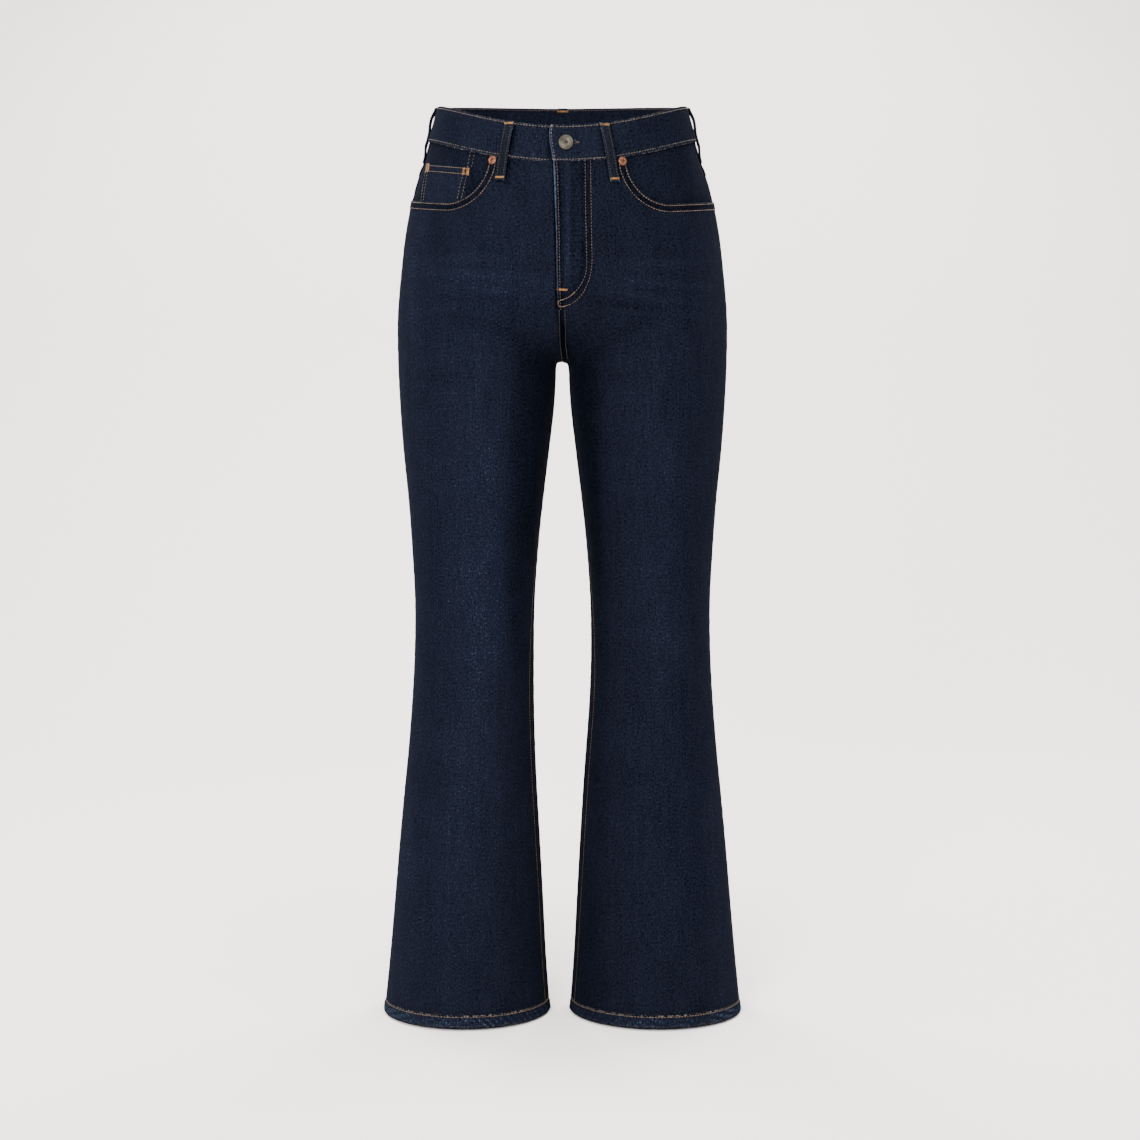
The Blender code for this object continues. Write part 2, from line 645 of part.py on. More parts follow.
def make_hem(side, name):
    """The allowance turned up inside a leg end, a ring behind the fronts' and backs' last rows."""
    outside = -CLOTH - GAP
    inside = outside - HEM_THICK
    corners = ((HEM_DROP - HEM_HEIGHT, outside), (HEM_DROP, outside),
               (HEM_DROP, inside), (HEM_DROP - HEM_HEIGHT, inside))
    rings = [hem_ring(side, drop, lift) for drop, lift in corners]
    count = len(rings[0])
    faces = []
    for ring in range(len(rings)):
        below = (ring + 1) % len(rings)
        for step in range(count):
            ahead = (step + 1) % count
            faces.append((ring * count + step, below * count + step,
                          below * count + ahead, ring * count + ahead))
    add_object(name, closed_mesh(name, np.concatenate(rings), faces), DENIM)


def facing_end(across, drop, start):
    """Drop of the facing's lower edge, which follows the pocket mouth a little below it."""
    top = waist_line(FRONT, BAND_HEIGHT, across, drop)
    reach = np.clip((across - start + FACING_TUCK) / (SCOOP_REACH + FACING_TUCK), LEAST_REACH, 1)
    curve = top + (SCOOP_FALL + FACING_TUCK) * np.sqrt(1 - (1 - reach) ** 2)
    rest = half_length(FRONT, drop) - start - SCOOP_REACH
    far = np.clip((across - start - SCOOP_REACH) / rest, 0, 1)
    seam = waist_line(FRONT, BAND_HEIGHT, np.full_like(across, start), drop)
    straight = seam + SCOOP_FALL + FACING_TUCK - SCOOP_CLIMB * far ** SCOOP_POWER
    return np.where(reach < 1, np.minimum(curve, straight), straight)


def make_facing(side, name):
    """The denim that shows inside a pocket mouth, tucked under the front's cut edge."""
    start = SCOOP_START + side * CENTRE_SHIFT
    level = np.array([start + FACING_START])
    columns = front_columns(side, level)[0]
    share = columns[columns > start - FACING_START] / half_length(FRONT, level)
    drop = np.full((FACING_ROWS, len(share)), level)
    for _ in range(SETTLE_STEPS):
        across = share * half_length(FRONT, drop)
        across[:, -1] -= GAP / 2
        top = waist_line(FRONT, BAND_HEIGHT, across, drop) + GAP + SEAM_SLACK
        bottom = facing_end(across, drop, start)
        drop = top + (bottom - top) * np.linspace(0, 1, FACING_ROWS)[:, None]
    outer = cloth(side, FRONT, across, drop, FACING_OUT)
    inner = cloth(side, FRONT, across, drop, FACING_OUT - FACING_THICK)
    add_wall(name, outer, inner, DENIM)


def make_coin_pocket():
    """The small patch on the wearer's right facing, down to the front's cut edge."""
    size = COIN_POCKET
    u = np.linspace(0, 1, COIN_POCKET_COLUMNS + 1)
    v = np.linspace(0, 1, COIN_POCKET_ROWS)[:, None]
    across = size["inner"] + (size["outer"] - size["inner"]) * u + size["lean"] * v * (1 - u)
    mouth_across, mouth_drop = front_grid(WEARERS_RIGHT)
    top = size["inner top"] + (size["outer top"] - size["inner top"]) * u
    bottom = np.interp(across[-1], mouth_across[0], mouth_drop[0]) - GAP - SEAM_SLACK
    drop = top + (bottom - top) * v
    outer = cloth(WEARERS_RIGHT, FRONT, across, drop, size["face"])
    inner = cloth(WEARERS_RIGHT, FRONT, across, drop, size["face"] - size["thick"])
    add_wall("coin_pocket", outer, inner, DENIM_WORN)


def make_back_pocket(side, name):
    """A patch pocket that comes to a point at the bottom, laid on the back."""
    size = BACK_POCKET
    u = np.linspace(-1, 1, BACK_POCKET_COLUMNS + 1)
    v = np.linspace(0, 1, BACK_POCKET_ROWS)[:, None]
    over = (size["half width"] - size["taper"] * v) * u
    down = (size["side"] + size["point"] * (1 - np.abs(u))) * v
    turn = math.radians(size["tilt"])
    across = size["middle"] + over * math.cos(turn) + size["drift"] * v
    drop = size["top"] + down - over * math.sin(turn)
    outer = cloth(side, BACK, across, drop, size["gap"] + size["thick"])
    inner = cloth(side, BACK, across, drop, size["gap"])
    add_wall(name, outer, inner, DENIM_WORN)


def band_places(half, unit, places):
    """Across and drop of the waistband's points in columns at these places."""
    places = np.tile(places, (len(BAND_ROWS), 1))
    drop = np.full_like(places, ORIGIN_DROP)
    for _ in range(SETTLE_STEPS):
        across = places * half_length(half, drop) if unit == "share" else places
        top = waist_line(half, 0.0, across, drop)
        bottom = waist_line(half, BAND_HEIGHT, across, drop)
        drop = top + (bottom - top) * BAND_ROWS[:, None]
    return across, drop


def make_waistband():
    """One strip round the waist, its wearer's left end lapped over its right end at the front."""
    outer = []
    inner = []
    for side, half, unit, places, lift in BAND_STRETCHES:
        across, drop = band_places(half, unit, places)
        outer.append(cloth(side, half, across, drop, np.array(lift) + BAND_OUT))
        inner.append(cloth(side, half, across, drop, np.array(lift) - BAND_IN))
    drop = band_places(FRONT, "mm", (FLY_EDGE[0, 1],))[1]
    end = np.interp(drop, *FLY_EDGE.T)
    outer.append(cloth(WEARERS_LEFT, FRONT, end, drop, BAND_LIFT + BAND_OUT))
    inner.append(cloth(WEARERS_LEFT, FRONT, end, drop, BAND_LIFT - BAND_IN))
    outer = np.concatenate(outer, axis=1)
    inner = np.concatenate(inner, axis=1)
    row, column = BUTTONHOLE
    add_wall("waistband", outer, inner, DENIM, missing=((row, outer.shape[1] + column),))


def make_belt_loops():
    """Folded strips that stand off the waistband, closed at both ends."""
    for name, (side, seam, top_across, end_across) in LOOPS.items():
        half = BACK if seam == SIDE_SEAM else seam
        place, unit = (1.0, "share") if seam == SIDE_SEAM else (top_across, "mm")
        edges = band_places(half, unit, (place,))[1]
        start = {"top": edges[0, 0], "bottom": edges[-1, 0]}
        drop = np.array([[start[edge] + down] for edge, down, _, _ in LOOP_PROFILE])
        inner_lift = np.array([[lift] for _, _, lift, _ in LOOP_PROFILE])
        outer_lift = inner_lift + np.array([[thick] for _, _, _, thick in LOOP_PROFILE])
        lean = (drop - drop[0]) / (drop[-1] - drop[0]) * (end_across - top_across)
        across = top_across + lean + LOOP_HALF_WIDTH * np.array([-1.0, 0.0, 1.0])
        outer = cloth(side, seam, across, drop, outer_lift)
        inner = cloth(side, seam, across, drop, inner_lift)
        add_wall(name, outer, inner, DENIM_WORN)


def make_zip():
    """Tape with its chain raised along the middle, closed, behind the fly."""
    below = [row[0] for row in FRONT_ROWS if ZIP_TOP < row[0] < LAP_END]
    above = np.linspace(ZIP_TOP, below[0], ZIP_TOP_ROWS, endpoint=False)
    drop = np.concatenate((above, below))[:, None]
    outer = cloth(WEARERS_LEFT, FRONT, ZIP_ACROSS, drop, ZIP_LIFT)
    inner = cloth(WEARERS_LEFT, FRONT, ZIP_ACROSS, drop, ZIP_LIFT[0] - ZIP_THICK)
    add_wall("zip", outer, inner, ZIP_TAPE)


def turned_piece(name, profile, side, place, colour, steps):
    """A closed turned shape of metal, its axis along the normal of a front at a place."""
    mesh = bpy.data.meshes.new(name)
    points = [(radius * MM, 0.0, height * MM) for radius, height in profile]
    mesh.from_pydata(points, [(i, i + 1) for i in range(len(points) - 1)], [])
    part = add_object(name, mesh, colour, roughness=0.35, metallic=1.0)
    screw = part.modifiers.new("Turn", "SCREW")
    screw.steps = screw.render_steps = steps
    screw.angle = math.tau
    screw.use_merge_vertices = True
    screw.merge_threshold = 0.00001
    across, drop, lift = place
    spot = Vector(cloth(side, FRONT, across, drop, lift))
    normal = Vector(cloth(side, FRONT, across, drop, lift + 1.0)) - spot
    part.location = spot
    part.rotation_euler = normal.to_track_quat("Z", "Y").to_euler()


def make_button():
    """The waist button, its shank through the buttonhole in the upper end of the band."""
    place = (BUTTON["across"], BUTTON["drop"], BAND_OUT + BAND_LIFT + GAP)
    turned_piece("waist_button", BUTTON_PROFILE, WEARERS_LEFT, place, SILVER, BUTTON["steps"])


def make_rivets():
    """The copper rivets at the pocket mouths."""
    for name, (side, across, drop) in RIVETS.items():
        turned_piece(name, RIVET_PROFILE, side, (across, drop, GAP), COPPER, RIVET_STEPS)


def build():
    """Make every piece of the jeans."""
    clear_scene()
    collection = bpy.data.collections.new("flared_jeans")
    bpy.context.scene.collection.children.link(collection)
    for side, word in SIDES:
        make_front(side, "front_" + word)
        make_back(side, "back_" + word)
        make_yoke(side, "yoke_" + word)
        make_hem(side, "hem_" + word)
        make_facing(side, "pocket_facing_" + word)
        make_back_pocket(side, "back_pocket_" + word)
    make_coin_pocket()
    make_waistband()
    make_belt_loops()
    make_zip()
    make_button()
    make_rivets()


build()
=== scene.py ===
"""The finished look of a pair of flared jeans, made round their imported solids."""

import math

import bpy
import numpy as np
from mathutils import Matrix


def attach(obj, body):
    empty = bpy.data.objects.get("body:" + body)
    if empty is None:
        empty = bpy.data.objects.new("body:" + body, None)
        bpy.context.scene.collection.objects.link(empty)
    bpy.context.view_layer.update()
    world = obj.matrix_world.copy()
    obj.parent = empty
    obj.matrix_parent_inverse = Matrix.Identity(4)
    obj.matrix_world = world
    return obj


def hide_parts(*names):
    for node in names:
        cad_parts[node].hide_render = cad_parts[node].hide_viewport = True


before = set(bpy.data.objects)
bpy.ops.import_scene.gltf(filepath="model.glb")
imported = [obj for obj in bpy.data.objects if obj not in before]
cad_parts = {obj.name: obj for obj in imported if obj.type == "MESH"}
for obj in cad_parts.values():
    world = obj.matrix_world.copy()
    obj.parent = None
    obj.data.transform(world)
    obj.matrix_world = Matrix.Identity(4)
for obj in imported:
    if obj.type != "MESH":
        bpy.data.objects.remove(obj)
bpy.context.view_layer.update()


# ---------------------------------------------------------------------------------------------------
# Fronts: a panel of dark stretch denim for each leg, cut away along the pocket mouth and hemmed at the
# foot. They are lapped at the fly, the wearer's left over the right, felled together down the rise, and
# sewn to the backs at the side seams and inseams. Worn, the cloth stands out as the hips and legs do.
# ---------------------------------------------------------------------------------------------------
MM = 0.001
LEFT = 1
RIGHT = -1
SIDES = ((LEFT, "left"), (RIGHT, "right"))
FRONT = "front"
BACK = "back"
SIDE_SEAM = "side seam"

# Heights in mm, as drops from the waistband's top edge at the side seams, and the cloth's thickness
ORIGIN_DROP = 19.0
CROTCH_DROP = 292.5
HEM_DROP = 1061.0
CLOTH = 1.4

# The worn body of the jeans, a row for each height, in mm
STATION_COLUMNS = ("drop", "half width", "half gap", "front depth", "back depth", "middle")
STATIONS = np.array((
    (-12.0, 139.5, 8.0, 96.8, 90.5, 0.0),
    (0.0, 142.4, 8.0, 98.0, 92.0, 0.0),
    (38.0, 152.9, 8.0, 101.0, 97.0, 0.0),
    (60.0, 159.2, 8.0, 103.6, 102.0, 0.0),
    (78.0, 165.6, 8.0, 106.0, 107.0, 0.0),
    (140.0, 180.3, 8.0, 108.0, 124.0, 0.0),
    (190.0, 186.6, 8.0, 106.0, 133.0, 0.0),
    (240.0, 191.0, 8.0, 102.0, 128.0, 0.0),
    (292.5, 191.3, 8.2, 100.0, 114.0, 2.0),
    (337.0, 189.6, 10.0, 97.0, 102.0, 3.0),
    (395.0, 185.8, 16.4, 90.0, 91.0, 4.0),
    (453.0, 180.3, 23.4, 83.0, 83.0, 4.0),
    (512.0, 176.3, 29.3, 77.5, 76.0, 4.0),
    (571.0, 173.5, 33.3, 73.5, 71.0, 4.0),
    (630.0, 174.2, 34.3, 71.0, 68.5, 5.0),
    (689.0, 177.5, 33.4, 70.5, 70.0, 6.0),
    (749.0, 182.5, 30.6, 72.0, 73.5, 7.0),
    (809.0, 188.7, 27.2, 75.0, 77.0, 8.0),
    (869.0, 194.4, 23.8, 78.5, 80.5, 8.0),
    (929.0, 199.6, 20.7, 83.5, 83.5, 8.0),
    (989.0, 205.0, 17.7, 88.5, 86.0, 8.0),
    (1061.0, 212.4, 12.8, 94.5, 88.5, 8.0),
    (1080.0, 214.4, 11.5, 96.0, 89.0, 8.0),
))
STATION_SLOPES = np.gradient(STATIONS, STATIONS[:, 0], axis=0)

# Above the crotch the legs' two ellipses slide together, and a bridge of cloth spans between them
MERGED_DROP = 20.0
SADDLE = 6.0
RISE = 85.0
BRIDGE_FALL = 1.4
CLEFT = 0.1
BLEND = 0.1
SECTION_STEPS = 96

# The feet sway a little to the wearer's right
SWAY = -3.5
SWAY_START = 620.0
SWAY_FULL = 800.0

# The waistband dips to the centre front and climbs to the centre back
BAND_HEIGHT = 39.5
BAND_TUCK = 2.5
FRONT_DIP = 32.0
SEAM_DIP = 33.3
DIP_POWER = 1.7
BACK_CLIMB = 10.0
BACK_POWER = 3.0

# Soft folds: where the middle of each lies, its turn in degrees, half length, half width and height
MOUND_COLUMNS = ("half", "side", "over", "drop", "turn", "length", "width", "height")
FOLDS = (
    (FRONT, LEFT, 118.0, 214.0, -14.0, 46.0, 11.0, -1.3),
    (FRONT, LEFT, 104.0, 246.0, -20.0, 40.0, 10.0, -1.5),
    (FRONT, LEFT, 92.0, 282.0, -27.0, 36.0, 11.0, -1.2),
    (FRONT, RIGHT, 112.0, 222.0, -12.0, 44.0, 11.0, -1.4),
    (FRONT, RIGHT, 98.0, 256.0, -18.0, 42.0, 10.0, -1.3),
    (FRONT, RIGHT, 88.0, 290.0, -25.0, 34.0, 12.0, -1.1),
    (FRONT, LEFT, 120.0, 612.0, 6.0, 44.0, 13.0, 1.3),
    (FRONT, RIGHT, 116.0, 626.0, -4.0, 42.0, 13.0, 1.2),
    (BACK, LEFT, 112.0, 318.0, 24.0, 52.0, 12.0, -1.8),
    (BACK, RIGHT, 108.0, 324.0, 22.0, 50.0, 12.0, -1.7),
    (BACK, LEFT, 96.0, 360.0, 16.0, 44.0, 13.0, -1.4),
    (BACK, RIGHT, 98.0, 352.0, 18.0, 46.0, 12.0, -1.5),
    (BACK, LEFT, 112.0, 566.0, 10.0, 50.0, 12.0, -2.2),
    (BACK, LEFT, 104.0, 604.0, -6.0, 54.0, 12.0, -2.4),
    (BACK, LEFT, 114.0, 644.0, 8.0, 44.0, 12.0, -1.8),
    (BACK, RIGHT, 106.0, 572.0, -8.0, 52.0, 12.0, -2.3),
    (BACK, RIGHT, 112.0, 610.0, 5.0, 50.0, 12.0, -2.1),
    (BACK, RIGHT, 104.0, 650.0, -10.0, 46.0, 12.0, -1.9),
)


def curve(u, step, start, end):
    """A smooth curve at a share u of a step, each of its ends given as a value and the slope there."""
    near = (1 + 2 * u) * (1 - u) ** 2 * start[0] + u * (1 - u) ** 2 * step * start[1]
    return near + u * u * (3 - 2 * u) * end[0] + u * u * (u - 1) * step * end[1]


def station(name, drop):
    """A column of the stations at any drop, on a smooth curve through its rows."""
    heights = STATIONS[:, 0]
    column = STATION_COLUMNS.index(name)
    ends = np.stack((STATIONS[:, column], STATION_SLOPES[:, column]))
    row = np.clip(np.searchsorted(heights, drop, side="right") - 1, 0, len(heights) - 2)
    step = heights[row + 1] - heights[row]
    return curve((drop - heights[row]) / step, step, ends[:, row], ends[:, row + 1])


def ease(value, start, end):
    """A smooth step, from 0 at the start to 1 at the end."""
    share = np.clip((value - start) / (end - start), 0, 1)
    return share * share * (3 - 2 * share)


def fade(value, reach):
    """1 at nought, dying away on both sides."""
    return np.exp(-np.abs(value) / reach)


def ridge(value, middle, width, power=2):
    """1 at the middle and nought beyond a width on both sides; a higher power makes the edges firmer."""
    return np.exp(-((value - middle) / width) ** power)


def leg_ellipse(drop):
    """Middle and half width of a leg's ellipse, in the coordinate root(x * x + SADDLE * SADDLE)."""
    outer = np.sqrt(station("half width", drop) ** 2 + SADDLE ** 2)
    inner = np.sqrt(station("half gap", drop) ** 2 + SADDLE ** 2)
    inner = inner - (outer + inner) * ease(drop, CROTCH_DROP, MERGED_DROP)
    return (outer + inner) / 2, (outer - inner) / 2


def leg_fullness(rounded, drop):
    """Squared share of its depth that a leg's ellipse stands out, below nought outside it."""
    middle, width = leg_ellipse(drop)
    return 1 - ((rounded - middle) / width) ** 2


BRIDGE_END = BLEND ** 2 / (4 * leg_fullness(SADDLE, CROTCH_DROP))


def bridge_fullness(half, rounded, drop):
    """The same for the cloth that spans between the two legs above the crotch."""
    climb = np.minimum((CROTCH_DROP - drop) / RISE, 1)
    bridge = BRIDGE_END + (1 - BRIDGE_END) * climb * (2 - climb)
    if half == BACK:
        bridge = bridge - CLEFT * np.clip(climb, 0, 1) ** 2
    return bridge - BRIDGE_FALL * (rounded ** 2 - SADDLE ** 2) / station("half width", drop) ** 2


def fullness(half, rounded, drop):
    """The greater of the two, blended where they are close."""
    leg = leg_fullness(rounded, drop)
    bridge = bridge_fullness(half, rounded, drop)
    return (leg + bridge + np.sqrt((leg - bridge) ** 2 + BLEND ** 2)) / 2


def closed_edges(drop):
    """Where each level's section closes, at the inseam or the middle and at the side seam."""
    middle, width = leg_ellipse(drop)
    low = middle - width
    high = middle + width
    for _ in range(6):
        inside = np.minimum(bridge_fullness(FRONT, low, drop), -1e-6)
        low = np.maximum(middle - width * np.sqrt(1 - BLEND ** 2 / (4 * inside)), SADDLE)
        outside = np.minimum(bridge_fullness(FRONT, high, drop), -1e-6)
        high = middle + width * np.sqrt(1 - BLEND ** 2 / (4 * outside))
    return np.where(drop > CROTCH_DROP, low, SADDLE), high


def depth_of(half, drop):
    """Depth of a half from the body's middle."""
    return station("front depth" if half == FRONT else "back depth", drop)


def section(half, drop):
    """Points of each level's section from the centre seam or inseam out to the side seam."""
    low, high = closed_edges(drop)
    swing = np.cos(np.linspace(0, math.pi, SECTION_STEPS))
    rounded = ((low + high)[:, None] - (high - low)[:, None] * swing) / 2
    x = np.sqrt(np.clip(rounded ** 2 - SADDLE ** 2, 0, None))
    share = np.sqrt(np.clip(fullness(half, rounded, drop[:, None]), 0, None))
    share[:, -1] = 0
    share[:, 0] = np.where(drop >= CROTCH_DROP, 0, share[:, 0])
    forward = -1 if half == FRONT else 1
    y = station("middle", drop)[:, None] + forward * depth_of(half, drop)[:, None] * share
    lengths = np.hypot(np.diff(x, axis=1), np.diff(y, axis=1))
    along = np.concatenate((np.zeros((len(drop), 1)), np.cumsum(lengths, axis=1)), axis=1)
    return x, y, along


# The crease down the middle of each leg, which the cloth's warp threads follow
CREASE_X = 98.0
LEVELS = np.linspace(-12.0, 1078.0, 1500)


def crease_place(half):
    """How far the crease lies from the centre seam or the inseam at each level."""
    x, _, along = section(half, LEVELS)
    crease = np.maximum((station("half width", LEVELS) + station("half gap", LEVELS)) / 2, CREASE_X)
    return np.array([np.interp(*row) for row in zip(crease, x, along)])


HALF_LENGTHS = {half: section(half, LEVELS)[2][:, -1] for half in (FRONT, BACK)}
CREASES = {half: crease_place(half) for half in (FRONT, BACK)}


def half_length(half, drop):
    """How far the side seam lies from the centre seam or the inseam, along the cloth."""
    return np.interp(drop, LEVELS, HALF_LENGTHS[half])


def off_crease(half, across, drop):
    """How far a place lies from the crease, positive towards the side seam."""
    return across - np.interp(drop, LEVELS, CREASES[half])


def outward(half, x, y, drop):
    """Unit normals of the surface out of the body, and how far off it the places lie."""
    def level(over, height):
        rounded = np.sqrt(over ** 2 + SADDLE ** 2)
        reach = depth_of(half, height) ** 2 * fullness(half, rounded, height)
        return (y - station("middle", height)) ** 2 - reach
    step = 0.25
    slope = np.stack((level(x + step, drop) - level(x - step, drop),
                      4 * step * (y - station("middle", drop)),
                      level(x, drop - step) - level(x, drop + step)), axis=-1)
    steep = np.linalg.norm(slope, axis=-1, keepdims=True)
    return slope / steep, 2 * step * level(x, drop)[..., None] / steep


def mounds(table, half, side, over, drop):
    """Height of a table's soft mounds at each place, each mound laid at its own turn."""
    total = np.zeros_like(over)
    for values in table:
        row = dict(zip(MOUND_COLUMNS, values))
        if (row["half"], row["side"]) != (half, side):
            continue
        turn = math.radians(row["turn"])
        aside = over - row["over"]
        down = drop - row["drop"]
        along = (aside * math.cos(turn) + down * math.sin(turn)) / row["length"]
        beside = (down * math.cos(turn) - aside * math.sin(turn)) / row["width"]
        total += row["height"] * np.exp(-along ** 2 - beside ** 2)
    return total


def alike(*values):
    """Numbers and arrays as arrays of one shape."""
    return np.broadcast_arrays(*(np.asarray(value, dtype=float) for value in values))


def cloth(side, seam, across, drop, lift):
    """Places on the cloth in metres, from mm across from a seam, mm of drop and mm lifted off it.

    Across is measured from the centre front, the centre back or, positive towards the back, from the
    side seam. A negative distance from a centre seam lies on the other leg's side of it.
    """
    across, drop, lift = alike(across, drop, lift)
    if seam == SIDE_SEAM:
        ahead = cloth(side, FRONT, half_length(FRONT, drop) + across, drop, lift)
        behind = cloth(side, BACK, half_length(BACK, drop) - across, drop, lift)
        return np.where((across < 0)[..., None], ahead, behind)
    shape = across.shape
    across, drop, lift = across.ravel(), drop.ravel(), lift.ravel()
    xs, ys, along = section(seam, drop)
    each = np.arange(len(across))
    cell = np.clip((along <= np.abs(across)[:, None]).sum(axis=1) - 1, 0, SECTION_STEPS - 2)
    span = along[each, cell + 1] - along[each, cell]
    share = np.clip((np.abs(across) - along[each, cell]) / span, 0, 1)
    x = xs[each, cell] + (xs[each, cell + 1] - xs[each, cell]) * share
    y = ys[each, cell] + (ys[each, cell + 1] - ys[each, cell]) * share
    normal, off = outward(seam, x, y, drop)
    lift = lift + mounds(FOLDS, seam, side, across, drop)
    points = np.stack((x, y, ORIGIN_DROP - drop), axis=-1) + normal * (lift[:, None] - off)
    sway = SWAY * ease(drop, SWAY_START, SWAY_FULL) * (1 - x / station("half width", drop))
    points[:, 0] = points[:, 0] * np.where(across < 0, -side, side) + sway
    return points.reshape(shape + (3,)) * MM


def waist_line(half, base, across, drop):
    """Drop of a line that follows the waistband, at places across a half."""
    share = np.clip(np.abs(across) / half_length(half, drop), 0, 1)
    if half == BACK:
        return base - BACK_CLIMB * (1 - share ** BACK_POWER)
    dip = FRONT_DIP + (SEAM_DIP - FRONT_DIP) * base / BAND_HEIGHT
    return base + dip * np.cos(share * math.pi / 2) ** DIP_POWER


# The middle of the painted shadow beside each front belt loop, from the loop's top to its foot
LOOP_DROPS = (31.0, 94.0)
LOOP_SHADOW_MIDDLES = {LEFT: (47.8, 60.3), RIGHT: (57.2, 68.7)}

# The closed fly: drops, and where the left front's edge lies at each, in mm across from the middle
FLY_EDGE = np.array((
    (30.0, -12.6),
    (36.0, -13.8),
    (42.0, -14.3),
    (50.0, -13.8),
    (60.0, -12.0),
    (71.0, -10.4),
    (74.0, -9.2),
    (90.0, -8.2),
    (140.0, -6.8),
    (225.0, -5.4),
    (250.0, -4.9),
    (274.0, -4.3),
    (286.0, -2.6),
    (CROTCH_DROP, 0.0),
    (1100.0, 0.0),
))
CENTRE_SHIFT = -5.5

# The lap's lift, where it slopes back down across the left front, and where it fades out down the rise
FLAP_LIFT = 1.7
FLAP_SLOPE = (-0.5, 13.0)
FLAP_FADE = (232.0, 256.0)

# The scoop of the pocket mouth, in mm
SCOOP_START = 78.0
SCOOP_REACH = 50.0
SCOOP_FALL = 51.5
SCOOP_CLIMB = 9.5
SCOOP_POWER = 1.15


def fly_edge(drop):
    """Where the left front's edge lies at each drop."""
    return np.interp(drop, *FLY_EDGE.T)


def scoop_line(side, across):
    """Drop of the pocket mouth's edge, out from its start at the waistband seam."""
    start = SCOOP_START + side * CENTRE_SHIFT
    corner = waist_line(FRONT, BAND_HEIGHT, start, 80.0)
    reach = np.clip((across - start) / SCOOP_REACH, 0, 1)
    rest = half_length(FRONT, 105.0) - start - SCOOP_REACH
    climb = SCOOP_CLIMB * np.clip((across - start - SCOOP_REACH) / rest, 0, 1) ** SCOOP_POWER
    return corner + SCOOP_FALL * np.sqrt(1 - (1 - reach) ** 2) - climb


def even_line(across, drop, count):
    """So many points, evenly spaced, along a line given by its across and drop."""
    reach = np.concatenate(((0.0,), np.cumsum(np.hypot(np.diff(across), np.diff(drop)))))
    places = np.linspace(0, reach[-1], count)
    return np.interp(places, reach, across), np.interp(places, reach, drop)


def scoop_points(side, count):
    """Evenly spaced points along the whole pocket mouth, from the waistband seam to the side seam."""
    start = SCOOP_START + side * CENTRE_SHIFT
    bend = SCOOP_REACH * (1 - np.cos(np.linspace(0, math.pi / 2, 60)))
    end = half_length(FRONT, 104.0)
    across = start + np.concatenate((bend, np.linspace(SCOOP_REACH, end - start, 40)[1:]))
    return even_line(across, scoop_line(side, across), count)


def beside_line(line, across, drop):
    """Distance of each place from a line of points."""
    step = 4000
    flat_across, flat_drop = across.ravel(), drop.ravel()
    near = [np.hypot(flat_across[i:i + step, None] - line[0],
                     flat_drop[i:i + step, None] - line[1]).min(axis=1)
            for i in range(0, len(flat_across), step)]
    return np.concatenate(near).reshape(across.shape)


def rolled(distance, width, depth):
    """How far a turned edge sinks, at a distance in from it."""
    inside = np.clip((width - distance) / width, 0, 1)
    return -depth * (1 - np.sqrt(1 - inside ** 2))


def ripple(along, length, seed):
    """Smooth uneven waves along a seam, between about -1 and 1."""
    chance = np.random.default_rng(seed)
    waves = [(length * chance.uniform(0.6, 1.7), chance.uniform(0, math.tau)) for _ in range(5)]
    return sum(np.sin(along * math.tau / wave + phase) for wave, phase in waves) / 3


# The hem: its row of stitches, how it swells and ropes, and how its edge hangs
HEM_ROW = 13.5
HEM_SWELL = 0.8
HEM_ROPES = 0.55
ROPE_SLANT = 0.9
ROPE_PITCH = 9.0
STITCH_SINK = 0.35
HEM_SAG = -2.4
HEM_LEVEL = 1.9
SAG_START = 985.0


def hem_relief(across, drop, seed):
    """The hem swells over its turned-up cloth, and the stitching pulls it into slanting ropes."""
    above = HEM_DROP - HEM_ROW
    swell = HEM_SWELL * ease(drop, above, above + 2.5) - STITCH_SINK * ridge(drop, above, 1.3)
    ropes = HEM_ROPES * ripple(across + ROPE_SLANT * (drop - above), ROPE_PITCH, seed)
    return swell + ropes * ease(drop, above, above + 4.0) * (1 - ease(drop, HEM_DROP - 3.0, HEM_DROP))


def hung(half, across, drop):
    """Drops with the leg end's hang in them: its edge is a little lower at the seams."""
    share = np.clip(across / half_length(half, drop), 0, 1)
    sag = HEM_LEVEL + HEM_SAG * np.sin(math.pi * share) ** 0.7
    return drop + sag * ease(drop, SAG_START, HEM_DROP)


# How high the felled seams stand, and over which widths they slope down to the single cloth
INSEAM_RIDGE = 0.8
INSEAM_SLOPE = (6.0, 8.5)
RISE_SLOPE = (8.5, 11.0)
MOUTH_RIDGE = 0.5
MOUTH_SLOPE = (9.5, 11.5)


def flap_rise(across, drop):
    """How far the fly's lap lifts the left front."""
    return FLAP_LIFT * np.interp(across, FLAP_SLOPE, (1, 0)) * (1 - ease(drop, *FLAP_FADE))


